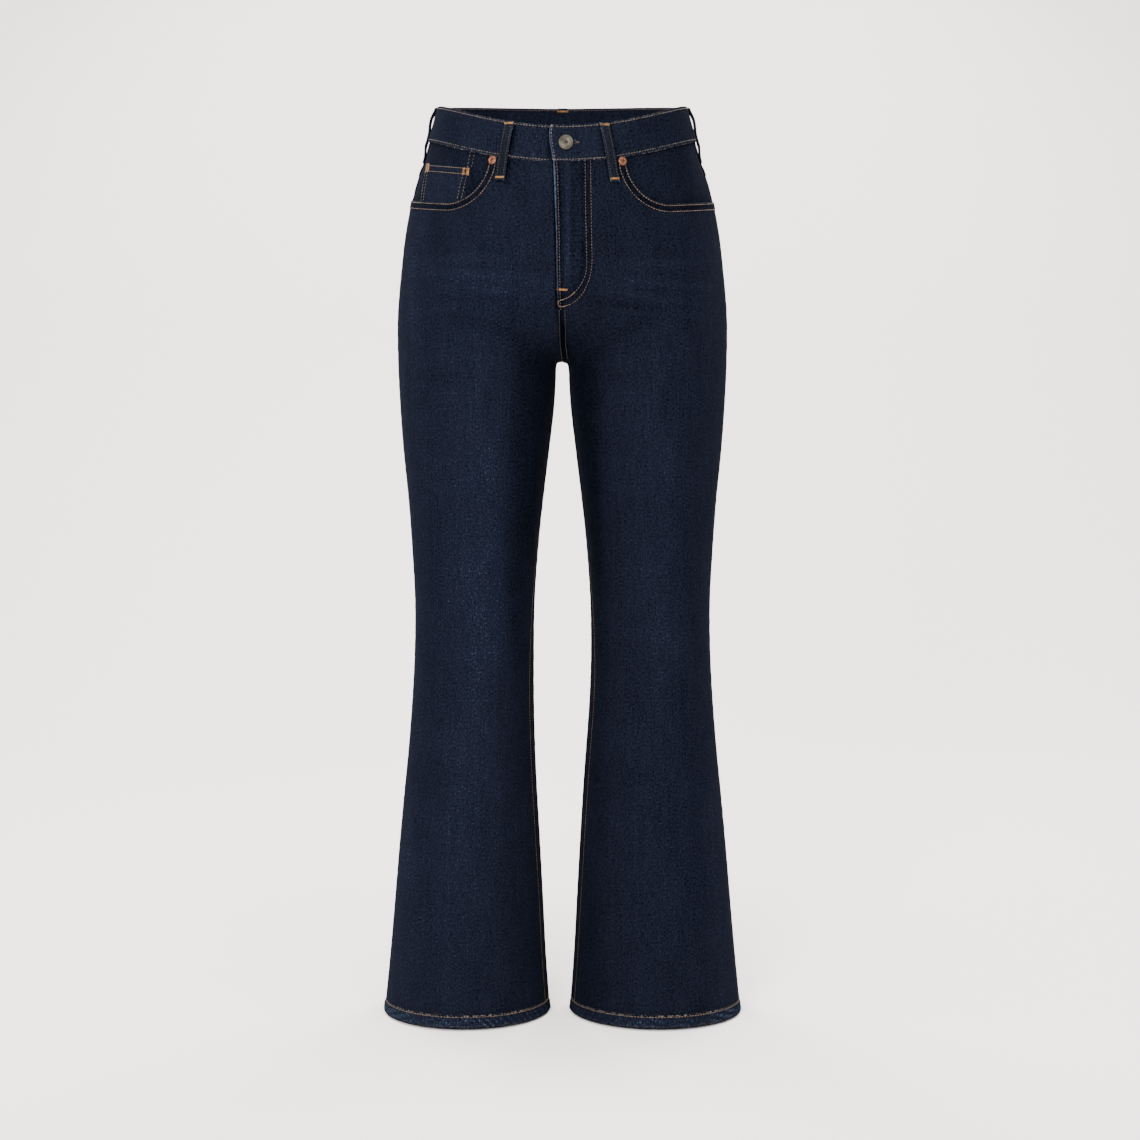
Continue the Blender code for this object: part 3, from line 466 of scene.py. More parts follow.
def front_relief(side, across, drop, mouth):
    """How far a front's face stands off the worn surface: its lap, ridges, turned edges and puckers."""
    from_edge = across - fly_edge(drop)
    seamed = ease(drop, CROTCH_DROP - 4, CROTCH_DROP + 14)
    lift = INSEAM_RIDGE * seamed * (1 - ease(across, *INSEAM_SLOPE)) + rolled(across, 1.3, 0.8) * seamed
    if side == LEFT:
        felled = ease(drop, *FLAP_FADE) * (1 - ease(from_edge, *RISE_SLOPE))
        lift = lift + flap_rise(across, drop) + (felled + rolled(from_edge, 1.3, 1.2)) * (1 - seamed)
    beside_seam = half_length(FRONT, drop) - across
    pucker = 0.16 * ripple(drop, 13.0, 5 + side) * fade(across, 9.0) * seamed
    pucker = pucker + 0.22 * ripple(drop, 15.0, 9 + side) * fade(beside_seam, 10.0)
    from_mouth = beside_line(mouth, across, drop)
    lift = lift + MOUTH_RIDGE * (1 - ease(from_mouth, *MOUTH_SLOPE)) + rolled(from_mouth, 1.5, 2.0)
    return lift + rolled(beside_seam, 1.6, 0.9) + pucker + hem_relief(across, drop, 20 + side)


# Where columns and rows of points lie in from a panel's inner edge, from its side seam and from its top
INNER_OFFSETS = np.array((0.0, 0.35, 0.8, 1.4, 2.2, 3.2, 4.4, 5.8, 7.4, 9.0, 11.0, 13.5, 16.5))
OUTER_OFFSETS = np.array((7.0, 5.0, 3.5, 2.4, 1.5, 0.8, 0.3, 0.0))
TOP_OFFSETS = np.array((0.0, 0.35, 0.8, 1.3, 2.0, 3.2, 4.8, 6.6, 8.4, 9.6, 10.8, 12.2))
LEG_STEP = 4.6
HEM_STEP = 1.5
HEM_ROUND = 1.6
TOP_ROWS = 14

# The rows of points down a front, as their drops at its inner edge and at the side seam
FRONT_ROWS = ((150.0, 158.0), (180.0, 184.0), (208.0, 206.0), (232.0, 224.0), (240.0, 238.0),
              (250.0, 250.0), (264.0, 262.0), (277.0, 274.0), (286.5, 286.0), (291.0, 298.0),
              (CROTCH_DROP, 308.0), (295.0, 318.0), (301.0, 328.0), (311.0, 340.0), (328.0, 354.0),
              (368.0, 368.0))

# The columns of points over a front between its two edges: how many in each stretch, and where two meet
FRONT_COLUMNS = (16, 26, 24)
FRONT_PLACES = (52.0, 112.0)


def body_rows(table):
    """Drops of the rows at the inner edge and at the side seam, from a table down to the hem."""
    inner, outer = [table[0][0]], [table[0][1]]
    for last, row in zip(table, table[1:]):
        steps = math.ceil(max(row[0] - last[0], row[1] - last[1]) / LEG_STEP)
        inner.extend(np.linspace(last[0], row[0], steps + 1)[1:])
        outer.extend(np.linspace(last[1], row[1], steps + 1)[1:])
    turn_up = HEM_DROP - HEM_ROW - 3.0
    leg = np.linspace(table[-1][0], turn_up, math.ceil((turn_up - table[-1][0]) / LEG_STEP) + 1)[1:]
    foot = np.linspace(turn_up, HEM_DROP - HEM_ROUND, math.ceil((HEM_DROP - turn_up) / HEM_STEP))[1:]
    return np.concatenate((inner, leg, foot)), np.concatenate((outer, leg, foot))


def front_edge(side, drop):
    """Where a front's inner edge lies; the right one runs on under the left one's lap."""
    if side == LEFT:
        return fly_edge(drop)
    under = np.interp(drop, (236.0, 246.0), (0, 1))
    edge = 1.0 + (-fly_edge(drop) - 3.5) * under
    return edge * (1 - ease(drop, 284.0, CROTCH_DROP))


def spaced(start, end, count):
    """Even places after a start up to an end, for each row of them."""
    start, end = np.broadcast_arrays(start, end)
    return start[..., None] + (end - start)[..., None] * np.arange(1, count + 1) / count


def front_places(side, drop):
    """Where a front's columns of points lie across it, at each drop of its inner edge."""
    edge = front_edge(side, drop)
    length = half_length(FRONT, drop)
    full = half_length(FRONT, 150.0)
    ends = [edge + INNER_OFFSETS[-1]] + [length * place / full for place in FRONT_PLACES]
    ends.append(length - OUTER_OFFSETS[0])
    middle = [spaced(ends[i], ends[i + 1], count) for i, count in enumerate(FRONT_COLUMNS)]
    return np.concatenate([edge[..., None] + INNER_OFFSETS] + middle
                          + [length[..., None] - OUTER_OFFSETS[1:]], axis=-1)


def front_top(side):
    """The front's top edge, a point for each column: along under the waistband, then the pocket mouth."""
    start = SCOOP_START + side * CENTRE_SHIFT
    near = front_edge(side, np.array(72.0)) + INNER_OFFSETS
    level = np.concatenate((near, spaced(near[-1], start, FRONT_COLUMNS[0])))
    line, drops = scoop_points(side, 400)
    bend = np.searchsorted(line, start + SCOOP_REACH)
    bend_across, bend_drop = even_line(line[:bend], drops[:bend], FRONT_COLUMNS[1] + 1)
    end = half_length(FRONT, drops[-1])
    last = np.concatenate((spaced(line[bend - 1], end - OUTER_OFFSETS[0], FRONT_COLUMNS[2]),
                           end - OUTER_OFFSETS[1:]))
    across = np.concatenate((level, bend_across[1:], last))
    drop = np.concatenate((waist_line(FRONT, BAND_HEIGHT, level, 70.0) - BAND_TUCK, bend_drop[1:],
                           scoop_line(side, last)))
    return across, drop


def top_rows(top, below):
    """Rows of points from a top edge to the row below, the first ones at set distances from the edge."""
    over = below[0] - top[0]
    down = below[1] - top[1]
    reach = np.hypot(over, down)
    slope = np.gradient(top[1]) / np.maximum(np.gradient(top[0]), 1e-6)
    facing = np.clip((down - over * slope) / np.hypot(slope, 1) / reach, 0.5, 1)
    share = TOP_OFFSETS[:, None] / (reach * facing)
    rest = share[-1] + (1 - share[-1]) * (np.arange(1, TOP_ROWS) / TOP_ROWS)[:, None]
    share = np.concatenate((share, rest))
    return top[0] + over * share, top[1] + down * share


def panel_plan(half, places, table, top):
    """Across and drop of every point of a panel, row by row from its top edge to its hem."""
    inner, outer = body_rows(table)
    across = places(inner)
    length = half_length(half, inner)[:, None]
    drop = inner[:, None] + (outer - inner)[:, None] * np.clip(across / length, 0, 1)
    near_edge = np.arange(across.shape[1]) < len(INNER_OFFSETS)
    across = np.where(near_edge, across, across * half_length(half, drop) / length)
    upper = top_rows(top, (across[0], drop[0]))
    across = np.concatenate((upper[0], across))
    drop = np.concatenate((upper[1], drop))
    across[:, -1] = half_length(half, drop[:, -1])
    return across, drop


def add_foot(half, across, drop, lift):
    """The panel's rows and lifts, and those more that round its hem's edge."""
    turns = np.radians((25.0, 50.0, 72.0, 90.0))[:, None]
    middle = -CLOTH - 0.15
    extra = HEM_DROP - HEM_ROUND + HEM_ROUND * np.sin(turns) + np.zeros(across.shape[1])
    grown = across[-1] * half_length(half, extra) / half_length(half, drop[-1])
    curl = middle + (lift[-1] - middle) * np.cos(turns)
    return np.concatenate((across, grown)), np.concatenate((drop, extra)), np.concatenate((lift, curl))


def add_object(name, mesh, *materials):
    """A piece whose place is in its mesh, shaded smooth."""
    piece = bpy.data.objects.new(name, mesh)
    bpy.context.scene.collection.objects.link(piece)
    for material in materials:
        mesh.materials.append(material)
    mesh.shade_smooth()
    return piece


def add_wall(name, outer, inner, plan, worn, materials, frayed=0.0):
    """A closed sheet between two grids of points, with its cut's own map, its wear with painted shade and
    sheen, and its fraying.
    """
    rows, columns = outer.shape[:2]
    points = np.concatenate((outer.reshape(-1, 3), inner.reshape(-1, 3)))
    behind = rows * columns
    a = (np.arange(rows - 1)[:, None] * columns + np.arange(columns - 1)).ravel()
    b = a + 1
    face = np.stack((a, a + columns, b + columns, b), axis=-1)
    back = np.stack((a, b, b + columns, a + columns), axis=-1) + behind
    top = np.stack((a, b, b + behind, a + behind), axis=-1)[:columns - 1]
    foot = np.stack((b, a, a + behind, b + behind), axis=-1)[1 - columns:] + columns
    first = a[::columns - 1]
    last = b[columns - 2::columns - 1]
    start = np.stack((first + columns, first, first + behind, first + columns + behind), axis=-1)
    end = np.stack((last, last + columns, last + columns + behind, last + behind), axis=-1)
    faces = np.concatenate((face, back, top, foot, start, end))
    corners = points[faces]
    volume = np.sum(corners[:, 0] * (np.cross(corners[:, 1], corners[:, 2])
                                     + np.cross(corners[:, 2], corners[:, 3])))
    if volume < 0:
        faces = faces[:, ::-1]
    mesh = bpy.data.meshes.new(name)
    mesh.from_pydata(points.tolist(), [], faces.tolist())
    piece = add_object(name, mesh, *materials)
    if len(materials) > 1:
        slots = np.zeros(len(faces), dtype=np.int32)
        slots[len(face):len(face) * 2] = 1
        mesh.polygons.foreach_set("material_index", slots)
    corner_of = np.empty(len(mesh.loops), dtype=np.int32)
    mesh.loops.foreach_get("vertex_index", corner_of)
    cut = np.tile(plan.reshape(-1, 2), (2, 1))
    mesh.uv_layers.new(name="Cloth").data.foreach_set("uv", cut[corner_of].ravel())
    for label, value in (("Wear and painted light", worn), ("Frayed", frayed)):
        value = np.concatenate((np.broadcast_to(value, (rows, columns)).ravel(), np.zeros(behind)))
        mesh.attributes.new(label, "FLOAT", "POINT").data.foreach_set("value", value.astype(np.float32))
    return piece


def flat_map(side, half, across, drop):
    """The cut's map in metres, with the twill's slant the same way on every piece."""
    way = side if half == FRONT else -side
    return np.stack((off_crease(half, across, drop) * way, -drop), axis=-1) * MM


def declare(piece, node):
    """Hang a piece of cloth on the root body, and hide the solid that it stands for."""
    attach(piece, "root")
    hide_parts(node)


def link(tree, source, target):
    """Join two sockets, each given as (node, name)."""
    tree.links.new(source[0].outputs[source[1]], target[0].inputs[target[1]])


def add_node(tree, kind, **values):
    """A node with some of its inputs set; an underscore in a name stands for a space."""
    node = tree.nodes.new(kind)
    for name, value in values.items():
        node.inputs[name.replace("_", " ")].default_value = value
    return node


def new_material(name, **values):
    """A material with its node tree and its shader, whose plain inputs are set as add_node's are."""
    material = bpy.data.materials.new(name)
    material.use_nodes = True
    shader = material.node_tree.nodes["Principled BSDF"]
    for key, value in values.items():
        shader.inputs[key.replace("_", " ")].default_value = value
    return material, material.node_tree, shader


def sums(tree, operation, first, second):
    """A Math node on two values, each a number or a (node, name) socket."""
    node = tree.nodes.new("ShaderNodeMath")
    node.operation = operation
    for index, value in enumerate((first, second)):
        if isinstance(value, tuple):
            tree.links.new(value[0].outputs[value[1]], node.inputs[index])
        else:
            node.inputs[index].default_value = value
    return node, "Value"


def weighted(tree, start, *terms):
    """A start value and the terms added to it, each a value and its weight."""
    for value, weight in terms:
        start = sums(tree, "ADD", start, sums(tree, "MULTIPLY", value, weight))
    return start


def grain_noise(tree, coordinates, scale, detail, roughness=0.55):
    """Noise on the cloth's map, given its grains per mm across and along, less its middle value."""
    place = add_node(tree, "ShaderNodeMapping", Scale=(scale[0] / MM, scale[1] / MM, 1))
    link(tree, coordinates, (place, "Vector"))
    noise = add_node(tree, "ShaderNodeTexNoise", Scale=1, Detail=detail, Roughness=roughness)
    noise.noise_dimensions = "2D"
    link(tree, (place, "Vector"), (noise, "Vector"))
    return sums(tree, "SUBTRACT", (noise, "Fac"), 0.5)


def attribute(tree, name):
    """The value that a mesh attribute has at each place."""
    node = tree.nodes.new("ShaderNodeAttribute")
    node.attribute_name = name
    return node, "Fac"


def two_tone(tree, level, low, dark, high, light):
    """A colour ramp, from the dark tone at a low level to the light one at a high level."""
    ramp = tree.nodes.new("ShaderNodeValToRGB")
    for stop, place, colour in zip(ramp.color_ramp.elements, (low, high), (dark, light)):
        stop.position = place
        stop.color = (*colour, 1)
    link(tree, level, (ramp, "Fac"))
    return ramp


def tint(tree, shader, ramp, share, added):
    """Colour the shader by a ramp, turned by a share towards an added colour."""
    mix = tree.nodes.new("ShaderNodeMix")
    mix.data_type = "RGBA"
    base, other, result = mix.inputs[6], mix.inputs[7], mix.outputs[2]
    other.default_value = (*added, 1)
    link(tree, share, (mix, "Factor"))
    tree.links.new(ramp.outputs["Color"], base)
    tree.links.new(result, shader.inputs["Base Color"])


def raise_by(tree, shader, height, strength, distance):
    """Bump the surface by a height, so many mm at most."""
    relief = add_node(tree, "ShaderNodeBump", Strength=strength, Distance=distance * MM)
    link(tree, height, (relief, "Height"))
    link(tree, (relief, "Normal"), (shader, "Normal"))


# The pale threads that show where indigo has worn right off, and the fibres where they have frayed
BARE = (0.022, 0.032, 0.052)
FIBRE = (0.095, 0.085, 0.080)


def denim(name, deep, pale, tone=0.35):
    """Indigo twill: steep ribs, slubby warp and mottled dye, paler where the cloth is worn, darker where
    shade is painted into its wear and paler where sheen is.
    """
    material, tree, shader = new_material(name, Specular_IOR_Level=0.01, IOR=1.25, Sheen_Weight=0.005,
                                          Sheen_Roughness=0.5, Sheen_Tint=(0.35, 0.5, 0.8, 1))
    cut = tree.nodes.new("ShaderNodeUVMap")
    cut.uv_map = "Cloth"
    uv = (cut, "UV")
    grain = grain_noise(tree, uv, (0.52, 0.40), 3, 0.70)
    slub = grain_noise(tree, uv, (0.7, 0.05), 3)
    streak = grain_noise(tree, uv, (0.16, 0.008), 2)
    dye = grain_noise(tree, uv, (0.03, 0.02), 4)
    ribs = add_node(tree, "ShaderNodeMapping", Rotation=(0, 0, math.radians(-28)), Scale=(1 / MM, 1 / MM, 1))
    twill = add_node(tree, "ShaderNodeTexWave", Scale=0.36, Distortion=1.2, Detail=2, Detail_Scale=2)
    link(tree, uv, (ribs, "Vector"))
    link(tree, (ribs, "Vector"), (twill, "Vector"))
    level = weighted(tree, tone, (grain, 1.65), (slub, 0.4), (streak, 0.15), (dye, 0.22),
                     ((twill, "Fac"), 0.12), (attribute(tree, "Wear and painted light"), 1.0))
    nearly_pale = [a + 0.8 * (b - a) for a, b in zip(deep, pale)]
    ramp = two_tone(tree, level, 0.0, deep, 0.8, nearly_pale)
    ramp.color_ramp.elements.new(1.0).color = (*BARE, 1)
    fuzz = sums(tree, "MULTIPLY", grain_noise(tree, uv, (0.3, 0.6), 2), 9)
    tint(tree, shader, ramp, sums(tree, "MULTIPLY", fuzz, attribute(tree, "Frayed")), FIBRE)
    link(tree, weighted(tree, 0.82, (grain, 0.3)), (shader, "Roughness"))
    raise_by(tree, shader, weighted(tree, 0.0, ((twill, "Fac"), 0.5), (slub, 0.8), (grain, 1.0)), 0.6, 0.25)
    return material


denim_face = denim("indigo denim", (0.0003, 0.0006, 0.0014), (0.0074, 0.0090, 0.0170))
denim_back = denim("denim reverse", (0.0020, 0.0024, 0.0036), (0.0150, 0.0165, 0.0210))

# Worn patches: where each lies off the crease and down, its turn, half length, half width and strength
WEAR = (
    (FRONT, RIGHT, 8.0, 178.0, 2.0, 60.0, 6.0, 0.10),
    (FRONT, RIGHT, -2.0, 197.0, -4.0, 66.0, 6.0, 0.14),
    (FRONT, RIGHT, -8.0, 214.0, -3.0, 60.0, 6.0, 0.11),
    (FRONT, RIGHT, 14.0, 232.0, 6.0, 62.0, 5.0, 0.10),
    (FRONT, RIGHT, -24.0, 226.0, 12.0, 40.0, 4.0, -0.10),
    (FRONT, RIGHT, -36.0, 262.0, -30.0, 40.0, 9.0, -0.10),
    (FRONT, LEFT, 16.0, 184.0, -3.0, 60.0, 6.0, 0.11),
    (FRONT, LEFT, 22.0, 206.0, 3.0, 62.0, 5.0, 0.13),
    (FRONT, LEFT, 8.0, 222.0, 7.0, 60.0, 5.0, 0.10),
    (FRONT, LEFT, -22.0, 232.0, 10.0, 46.0, 4.5, -0.11),
    (FRONT, LEFT, 26.0, 240.0, 2.0, 50.0, 5.0, 0.10),
    (FRONT, LEFT, -40.0, 266.0, -28.0, 36.0, 9.0, -0.08),
    (FRONT, RIGHT, -4.0, 385.0, 88.0, 150.0, 42.0, 0.10),
    (FRONT, LEFT, 2.0, 375.0, 88.0, 140.0, 40.0, 0.10),
    (FRONT, RIGHT, -8.0, 570.0, 88.0, 90.0, 34.0, 0.10),
    (FRONT, LEFT, 6.0, 590.0, 88.0, 90.0, 34.0, 0.10),
    (FRONT, RIGHT, 8.0, 800.0, 84.0, 190.0, 36.0, 0.10),
    (FRONT, LEFT, 0.0, 860.0, 88.0, 190.0, 46.0, 0.06),
    (BACK, LEFT, 6.0, 200.0, 60.0, 90.0, 60.0, 0.10),
    (BACK, RIGHT, 6.0, 205.0, 60.0, 90.0, 60.0, 0.10),
    (BACK, LEFT, 0.0, 560.0, 10.0, 60.0, 12.0, 0.08),
    (BACK, RIGHT, 0.0, 566.0, -8.0, 60.0, 12.0, 0.08),
    (BACK, LEFT, 4.0, 612.0, -6.0, 60.0, 12.0, 0.08),
    (BACK, RIGHT, 2.0, 606.0, 6.0, 60.0, 12.0, 0.08),
    (BACK, LEFT, 0.0, 860.0, 88.0, 160.0, 50.0, 0.06),
    (BACK, RIGHT, 0.0, 860.0, 88.0, 160.0, 50.0, 0.06),
)


# Down the insides of the thighs the cloth is darker, from so far in from the crease: painted shade between
# the legs, where it also fades least; the outsides are paler, a painted sheen
INNER_THIGH_SHADE_AND_DYE = {LEFT: (48.0, 80.0), RIGHT: (30.0, 58.0)}
OUTER_THIGH_SHEEN = (45.0, 85.0)


def body_wear_and_painted_light(half, side, across, drop):
    """How worn the cloth is at each place away from its seams, with painted shade between the legs and over
    the wearer's left leg, and painted sheen down the outsides.
    """
    off = off_crease(half, across, drop)
    patches = 0.04 * mounds(FOLDS, half, side, across, drop) + mounds(WEAR, half, side, off, drop)
    # Painted shade between the legs, down the insides of the thighs, where the cloth also fades least
    depth = 0.20 * ease(drop, 240.0, 320.0) * (1 - 0.75 * ease(drop, 480.0, 720.0))
    inside = depth * ease(-off, *INNER_THIGH_SHADE_AND_DYE[side])
    # Painted sheen down the outsides of the legs, and painted shade over all of the wearer's left leg
    return patches - inside + 0.12 * ease(off, *OUTER_THIGH_SHEEN) - 0.06 * (side == LEFT)


def inseam_row(half, drop):
    """How far the inseam's row of stitches lies from the leg's inner edge; the felled seam rolls forward."""
    return 4.4 + 20.0 * ease(drop, 420.0, 680.0) * (half == FRONT)


def hem_fray(drop):
    """How frayed the cloth is in the crease above the hem's row, and a little along the hem's edge."""
    return 0.5 * ridge(drop, HEM_DROP - HEM_ROW - 1.2, 1.1) + 0.1 * ease(drop, HEM_DROP - 5.0, HEM_DROP - 3.0)


def seam_wear_and_shade(half, across, drop):
    """How much paler or darker the cloth is at the inseam, the side seam and the hem: painted shade in the
    inseam's groove and along the side seam, the hem's fold and ropes worn pale, and painted shade along its
    lower edge.
    """
    felled = inseam_row(half, drop)
    row = HEM_DROP - HEM_ROW
    # Painted shade in the groove inside the inseam's row
    inseam = -0.3 * (1 - ease(np.abs(across), felled - 3.0, felled - 1.0)) * ease(drop, 300.0, 340.0)
    # Painted shade along the side seam
    side_seam = -0.2 * np.exp(-(half_length(half, drop) - across) / 3.0)
    # The hem's fold is worn paler, and its lower edge has painted shade where it turns under
    fold = 0.20 * ease(drop, row, row + 3.0) - 0.45 * ease(drop, HEM_DROP - 2.4, HEM_DROP - 0.4)
    ropes = 0.24 * ease(drop, row, row + 2.0) * ripple(across + ROPE_SLANT * drop, ROPE_PITCH, 77)
    # A darker line lies just above the hem
    return inseam + side_seam + fold + ropes - 0.22 * fade(drop - row + 3.4, 1.4)


# The hook of stitches that holds the fly's shield, two rows, and the bars that close its end
HOOK_INNER = np.array((
    (25.5, 72.0), (26.2, 130.0), (27.0, 165.0), (27.2, 187.5), (26.0, 197.0), (22.8, 204.5), (18.8, 211.0),
    (13.8, 216.5), (7.8, 221.3), (1.0, 224.0), (-4.2, 225.4)))
HOOK_OUTER = np.array((
    (31.6, 72.0), (32.4, 130.0), (33.0, 165.0), (33.1, 186.0), (31.0, 199.0), (26.8, 210.5), (22.6, 218.0),
    (17.9, 223.5), (12.8, 227.6), (7.4, 230.0), (-1.4, 231.6)))
HOOK_END = np.array((
    (14.0, 216.4), (7.8, 221.3), (1.0, 224.0), (-2.4, 224.9), (-4.2, 226.6), (-4.4, 229.0), (-3.2, 231.0),
    (-0.6, 231.7), (3.6, 231.0), (8.4, 229.6)))


def smooth_line(table, step=2.5):
    """A smooth line of places through the rows of a table, as its across and drop."""
    reach = np.concatenate(((0.0,), np.cumsum(np.hypot(*np.diff(table, axis=0).T))))
    places = np.linspace(0, reach[-1], math.ceil(reach[-1] / step))
    ends = np.stack((table, np.gradient(table, reach, axis=0)))
    cell = np.clip(np.searchsorted(reach, places, side="right") - 1, 0, len(reach) - 2)
    span = (reach[cell + 1] - reach[cell])[:, None]
    return curve((places - reach[cell])[:, None] / span, span, ends[:, cell], ends[:, cell + 1]).T


def painted_loop_shadow(side, across, drop):
    """How much darker the cloth is painted beside a front belt loop, where the loop's shadow falls."""
    middle = np.interp(drop, LOOP_DROPS, LOOP_SHADOW_MIDDLES[side])
    return 0.4 * ridge(across, middle, 7.2, 8) * (1 - ease(drop, 91.0, 94.5))


def add_cloth(node, side, half, place, lifts, worn, frayed=0.0, hang=(0, 0)):
    """A piece of denim on the worn surface, which stands for a node.

    Its place is its across and drop, and the lifts and the hang, each for its face and its reverse, say how
    far they stand off the surface and how much lower they lie than they were cut.
    """
    across, drop = place
    outer, inner = (cloth(side, half, across, drop + low, lift) for low, lift in zip(hang, lifts))
    piece = add_wall(node + "_cloth", outer, inner, flat_map(side, half, across, drop), worn,
                     (denim_face, denim_back), frayed)
    declare(piece, node)


def add_panel(node, side, half, place, lifts, worn, frayed):
    """A front or a back, whose foot hangs with the hem and turns up at its edge."""
    sag = hung(half, *place) - place[1]
    turned_up = 1.0 * (place[1] > HEM_DROP - 1)
    add_cloth(node, side, half, place, lifts, worn, frayed=frayed, hang=(sag, sag - turned_up))


def fly_wear_and_shade(across, drop):
    """How much paler or darker the left front is: worn pale along its folded edge and over the shield behind
    it, with painted shade beside the edge's row, down the rise and round the hook.
    """
    from_edge = across - fly_edge(drop)
    from_hook = beside_line(smooth_line(HOOK_INNER), across, drop)
    above_hook = 1 - ease(drop, 190, 215)
    # The folded edge is worn pale, and a painted dark line of shade lies beside its row
    worn = 0.8 * ridge(from_edge, 0.0, 1.25) * (1 - ease(drop, 215, 235)) - 0.28 * ridge(from_edge, 4.0, 2.4)
    # Painted shade down the rise, between its two rows
    worn = worn - 0.35 * ridge(from_edge, 5.0, 4.0, 4) * ease(drop, 236, 262)
    # Painted shade along the hook's inner row
    worn = worn - 0.16 * ridge(from_hook, 3.0, 3.0)
    return worn + (0.22 * ridge(across, 6.4, 2.6) - 0.12 * ridge(across, 11.0, 2.2)) * above_hook


def make_front(side, word):
    """One front, from the waistband seam and the pocket mouth down to the hem."""
    def places(drop):
        return front_places(side, drop)
    mouth = scoop_points(side, 300)
    across, drop = panel_plan(FRONT, places, FRONT_ROWS, front_top(side))
    across, drop, lift = add_foot(FRONT, across, drop, front_relief(side, across, drop, mouth))
    from_mouth = beside_line(mouth, across, drop)
    worn = body_wear_and_painted_light(FRONT, side, across, drop) + seam_wear_and_shade(FRONT, across, drop)
    # The mouth's edge is worn pale; between its two rows the cloth has painted shade
    worn = worn + 0.20 * fade(from_mouth, 0.9) - 0.22 * ridge(from_mouth, 5.6, 3.4, 4)
    # Painted shadow beside the front belt loop
    worn = worn - painted_loop_shadow(side, across, drop)
    inside = -CLOTH
    if side == LEFT:
        worn = worn + fly_wear_and_shade(across, drop)
        inside = inside + flap_rise(across, drop)
    else:
        # Painted shadow under the edge of the left front's lap
        worn = worn - 0.5 * ridge(across, 0.8 - fly_edge(drop), 1.5) * (1 - ease(drop, 225, 262))
    add_panel("front_" + word, side, FRONT, (across, drop), (lift, inside), worn,
              hem_fray(drop) + 0.25 * fade(from_mouth, 0.6))


for side, word in SIDES:
    make_front(side, word)


# ---------------------------------------------------------------------------------------------------
# Topstitching of the fronts: single stitches of thick copper thread, one after another along each row,
# and bartacks, which are short bars of stitches laid close side by side. The rows run down the fly's
# edge, in a hook round the fly's shield, along the pocket mouths, inseams and hems.
# ---------------------------------------------------------------------------------------------------
STITCH_FORM = (("Pitch", 3.4 * MM), ("Length", 2.9 * MM), ("Width", 0.95 * MM), ("Height", 0.6 * MM),
               ("Turn", 0.0))
BARTACK = {"Pitch": 0.55 * MM, "Length": 2.9 * MM, "Width": 0.7 * MM, "Turn": math.radians(84)}
SEW_HEIGHT = 0.12
ROW_STEP = 3.0


def stitching_tree():
    """A node group that lays stitches along lines, each flat on the cloth by the line's own normals."""
    tree = bpy.data.node_groups.new("Stitches", "GeometryNodeTree")
    face = tree.interface
    face.new_socket("Lines", in_out="INPUT", socket_type="NodeSocketGeometry")
    for name, value in STITCH_FORM:
        face.new_socket(name, in_out="INPUT", socket_type="NodeSocketFloat").default_value = value
    face.new_socket("Seed", in_out="INPUT", socket_type="NodeSocketInt")
    face.new_socket("Thread", in_out="INPUT", socket_type="NodeSocketMaterial")
    face.new_socket("Stitches", in_out="OUTPUT", socket_type="NodeSocketGeometry")
    start = tree.nodes.new("NodeGroupInput")
    end = tree.nodes.new("NodeGroupOutput")
    lines = tree.nodes.new("GeometryNodeMeshToCurve")
    spaces = tree.nodes.new("GeometryNodeResampleCurve")
    spaces.mode = "LENGTH"
    stitch = add_node(tree, "GeometryNodeMeshUVSphere", Segments=6, Rings=4, Radius=0.5)
    lay = tree.nodes.new("GeometryNodeInstanceOnPoints")
    size = tree.nodes.new("ShaderNodeCombineXYZ")
    along = tree.nodes.new("GeometryNodeInputTangent")
    up = add_node(tree, "GeometryNodeInputNamedAttribute", Name="Up")
    up.data_type = "FLOAT_VECTOR"
    facing = tree.nodes.new("FunctionNodeAxesToRotation")
    facing.primary_axis = "Z"
    facing.secondary_axis = "X"
    slant = tree.nodes.new("FunctionNodeRandomValue")
    slant.inputs[2].default_value = -0.06
    slant.inputs[3].default_value = 0.06
    swing = tree.nodes.new("ShaderNodeMath")
    around = tree.nodes.new("FunctionNodeAxisAngleToRotation")
    turned = tree.nodes.new("FunctionNodeRotateRotation")
    turned.rotation_space = "LOCAL"
    real = tree.nodes.new("GeometryNodeRealizeInstances")
    dyed = tree.nodes.new("GeometryNodeSetMaterial")
    for source, target in (
            ((start, "Lines"), (lines, "Mesh")), ((lines, "Curve"), (spaces, "Curve")),
            ((start, "Pitch"), (spaces, "Length")), ((spaces, "Curve"), (lay, "Points")),
            ((stitch, "Mesh"), (lay, "Instance")), ((start, "Length"), (size, "X")),
            ((start, "Width"), (size, "Y")), ((start, "Height"), (size, "Z")),
            ((size, "Vector"), (lay, "Scale")), ((up, "Attribute"), (facing, "Primary Axis")),
            ((along, "Tangent"), (facing, "Secondary Axis")), ((start, "Seed"), (slant, "Seed")),
            ((facing, "Rotation"), (turned, "Rotation")), ((around, "Rotation"), (turned, "Rotate By")),
            ((turned, "Rotation"), (lay, "Rotation")), ((lay, "Instances"), (real, "Geometry")),
            ((real, "Geometry"), (dyed, "Geometry")), ((start, "Thread"), (dyed, "Material")),
            ((dyed, "Geometry"), (end, "Stitches"))):
        link(tree, source, target)
    tree.links.new(slant.outputs[1], swing.inputs[0])
    tree.links.new(start.outputs["Turn"], swing.inputs[1])
    tree.links.new(swing.outputs[0], around.inputs["Angle"])
    return tree


def uneven(tree, scale, detail=2, roughness=0.5):
    """Noise through a piece, on its own coordinates."""
    noise = add_node(tree, "ShaderNodeTexNoise", Scale=scale, Detail=detail, Roughness=roughness)
    link(tree, (tree.nodes.new("ShaderNodeTexCoord"), "Object"), (noise, "Vector"))
    return noise, "Fac"


